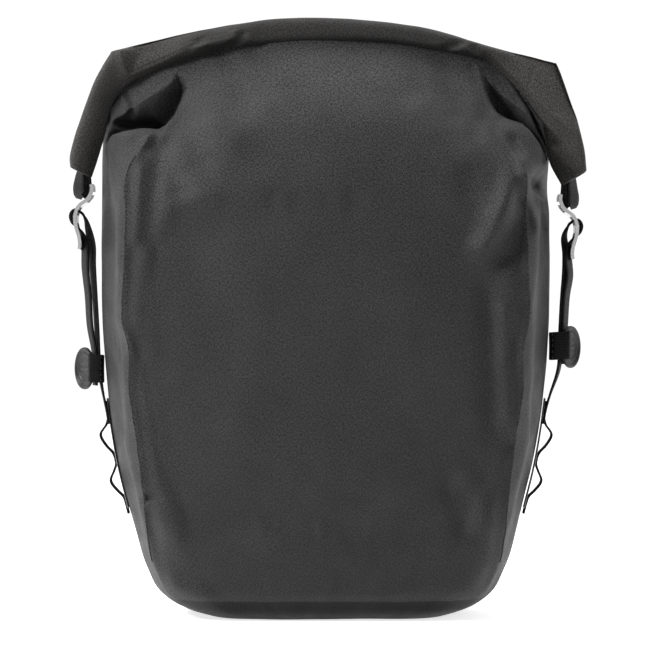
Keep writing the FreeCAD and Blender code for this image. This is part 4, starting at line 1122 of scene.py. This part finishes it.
def area_light(name, place, target, size, power):
    data = bpy.data.lights.new(name, "AREA")
    data.shape = "RECTANGLE"
    data.size, data.size_y = size
    data.energy = power
    lamp = place_object(name, data)
    lamp.location = place
    lamp.rotation_euler = (Vector(target) - Vector(place)).to_track_quat("-Z", "Y").to_euler()


def soft_room():
    """A white room behind and above the bag that gets darker towards its front."""
    world = bpy.data.worlds.new("studio")
    world.use_nodes = True
    tree = world.node_tree
    place = add_node(tree, "ShaderNodeTexCoord")
    split = add_node(tree, "ShaderNodeSeparateXYZ")
    ramp = add_node(tree, "ShaderNodeMapRange", interpolation_type="SMOOTHSTEP")
    set_range(ramp, *ROOM_TURN, ROOM_FRONT, ROOM_BACK)
    tree.links.new(place.outputs["Generated"], split.inputs[0])
    tree.links.new(split.outputs["Y"], ramp.inputs["Value"])
    tree.links.new(ramp.outputs[0], tree.nodes["Background"].inputs["Color"])
    return world


def studio():
    corners = [(x * FLOOR_HALF, y * FLOOR_HALF, FLOOR_Z) for x, y in ((-1, -1), (1, -1), (1, 1), (-1, 1))]
    floor = new_object("floor", corners, [(0, 1, 2, 3)])
    n = Nodes("pale_floor")
    shade = n.remap(n.noise(n.coords(), 3.0), 0.3, 0.7, 0.93, 0.95)
    pale = n.finish(n.mix(shade, rgba(0.0), rgba(1.0)), 0.75, None, Specular_IOR_Level=0.1,
                    Emission_Color=rgba(1.0), Emission_Strength=FLOOR_GLOW)
    floor.data.materials.append(pale)
    floor.visible_diffuse = False
    bpy.context.scene.world = soft_room()
    for lamp in LAMPS:
        area_light(*lamp)
    data = bpy.data.cameras.new("camera")
    data.sensor_width = SENSOR
    data.lens = SENSOR * VIEW_DISTANCE / VIEW_WIDTH
    data.clip_end = 50
    camera = place_object("camera", data)
    camera.location = (VIEW_CENTRE[0], -VIEW_DISTANCE, VIEW_CENTRE[1])
    camera.rotation_euler = (math.radians(90), 0, 0)
    bpy.context.scene.camera = camera
    bpy.context.scene.view_settings.view_transform = "Standard"


def main():
    dress_cad_nodes()
    front, back, left, right, base = bag_shell()
    for piece, node in ((front, "front_panel"), (back, "back_panel"), (left, "left_gusset"),
                        (right, "right_gusset"), (base, "base_panel")):
        fit(piece, "base_fabric" if node == "base_panel" else "bag_fabric", "bag", node)
    fit(roll(), "bag_fabric", "bag", "roll_top")
    batten()
    side_straps()
    closure_loops()
    side_ribbons("daisy_webbing", DAISY_ROUTE, "strap", "webbing", "daisy_chain", DAISY_WEB)
    side_ribbons("reflective_tape", TAPE_ROUTE, "tape", "reflective", "reflective_strip", TAPE)
    keeper_sleeves()
    keeper_plates()
    stitches()
    studio()


main()
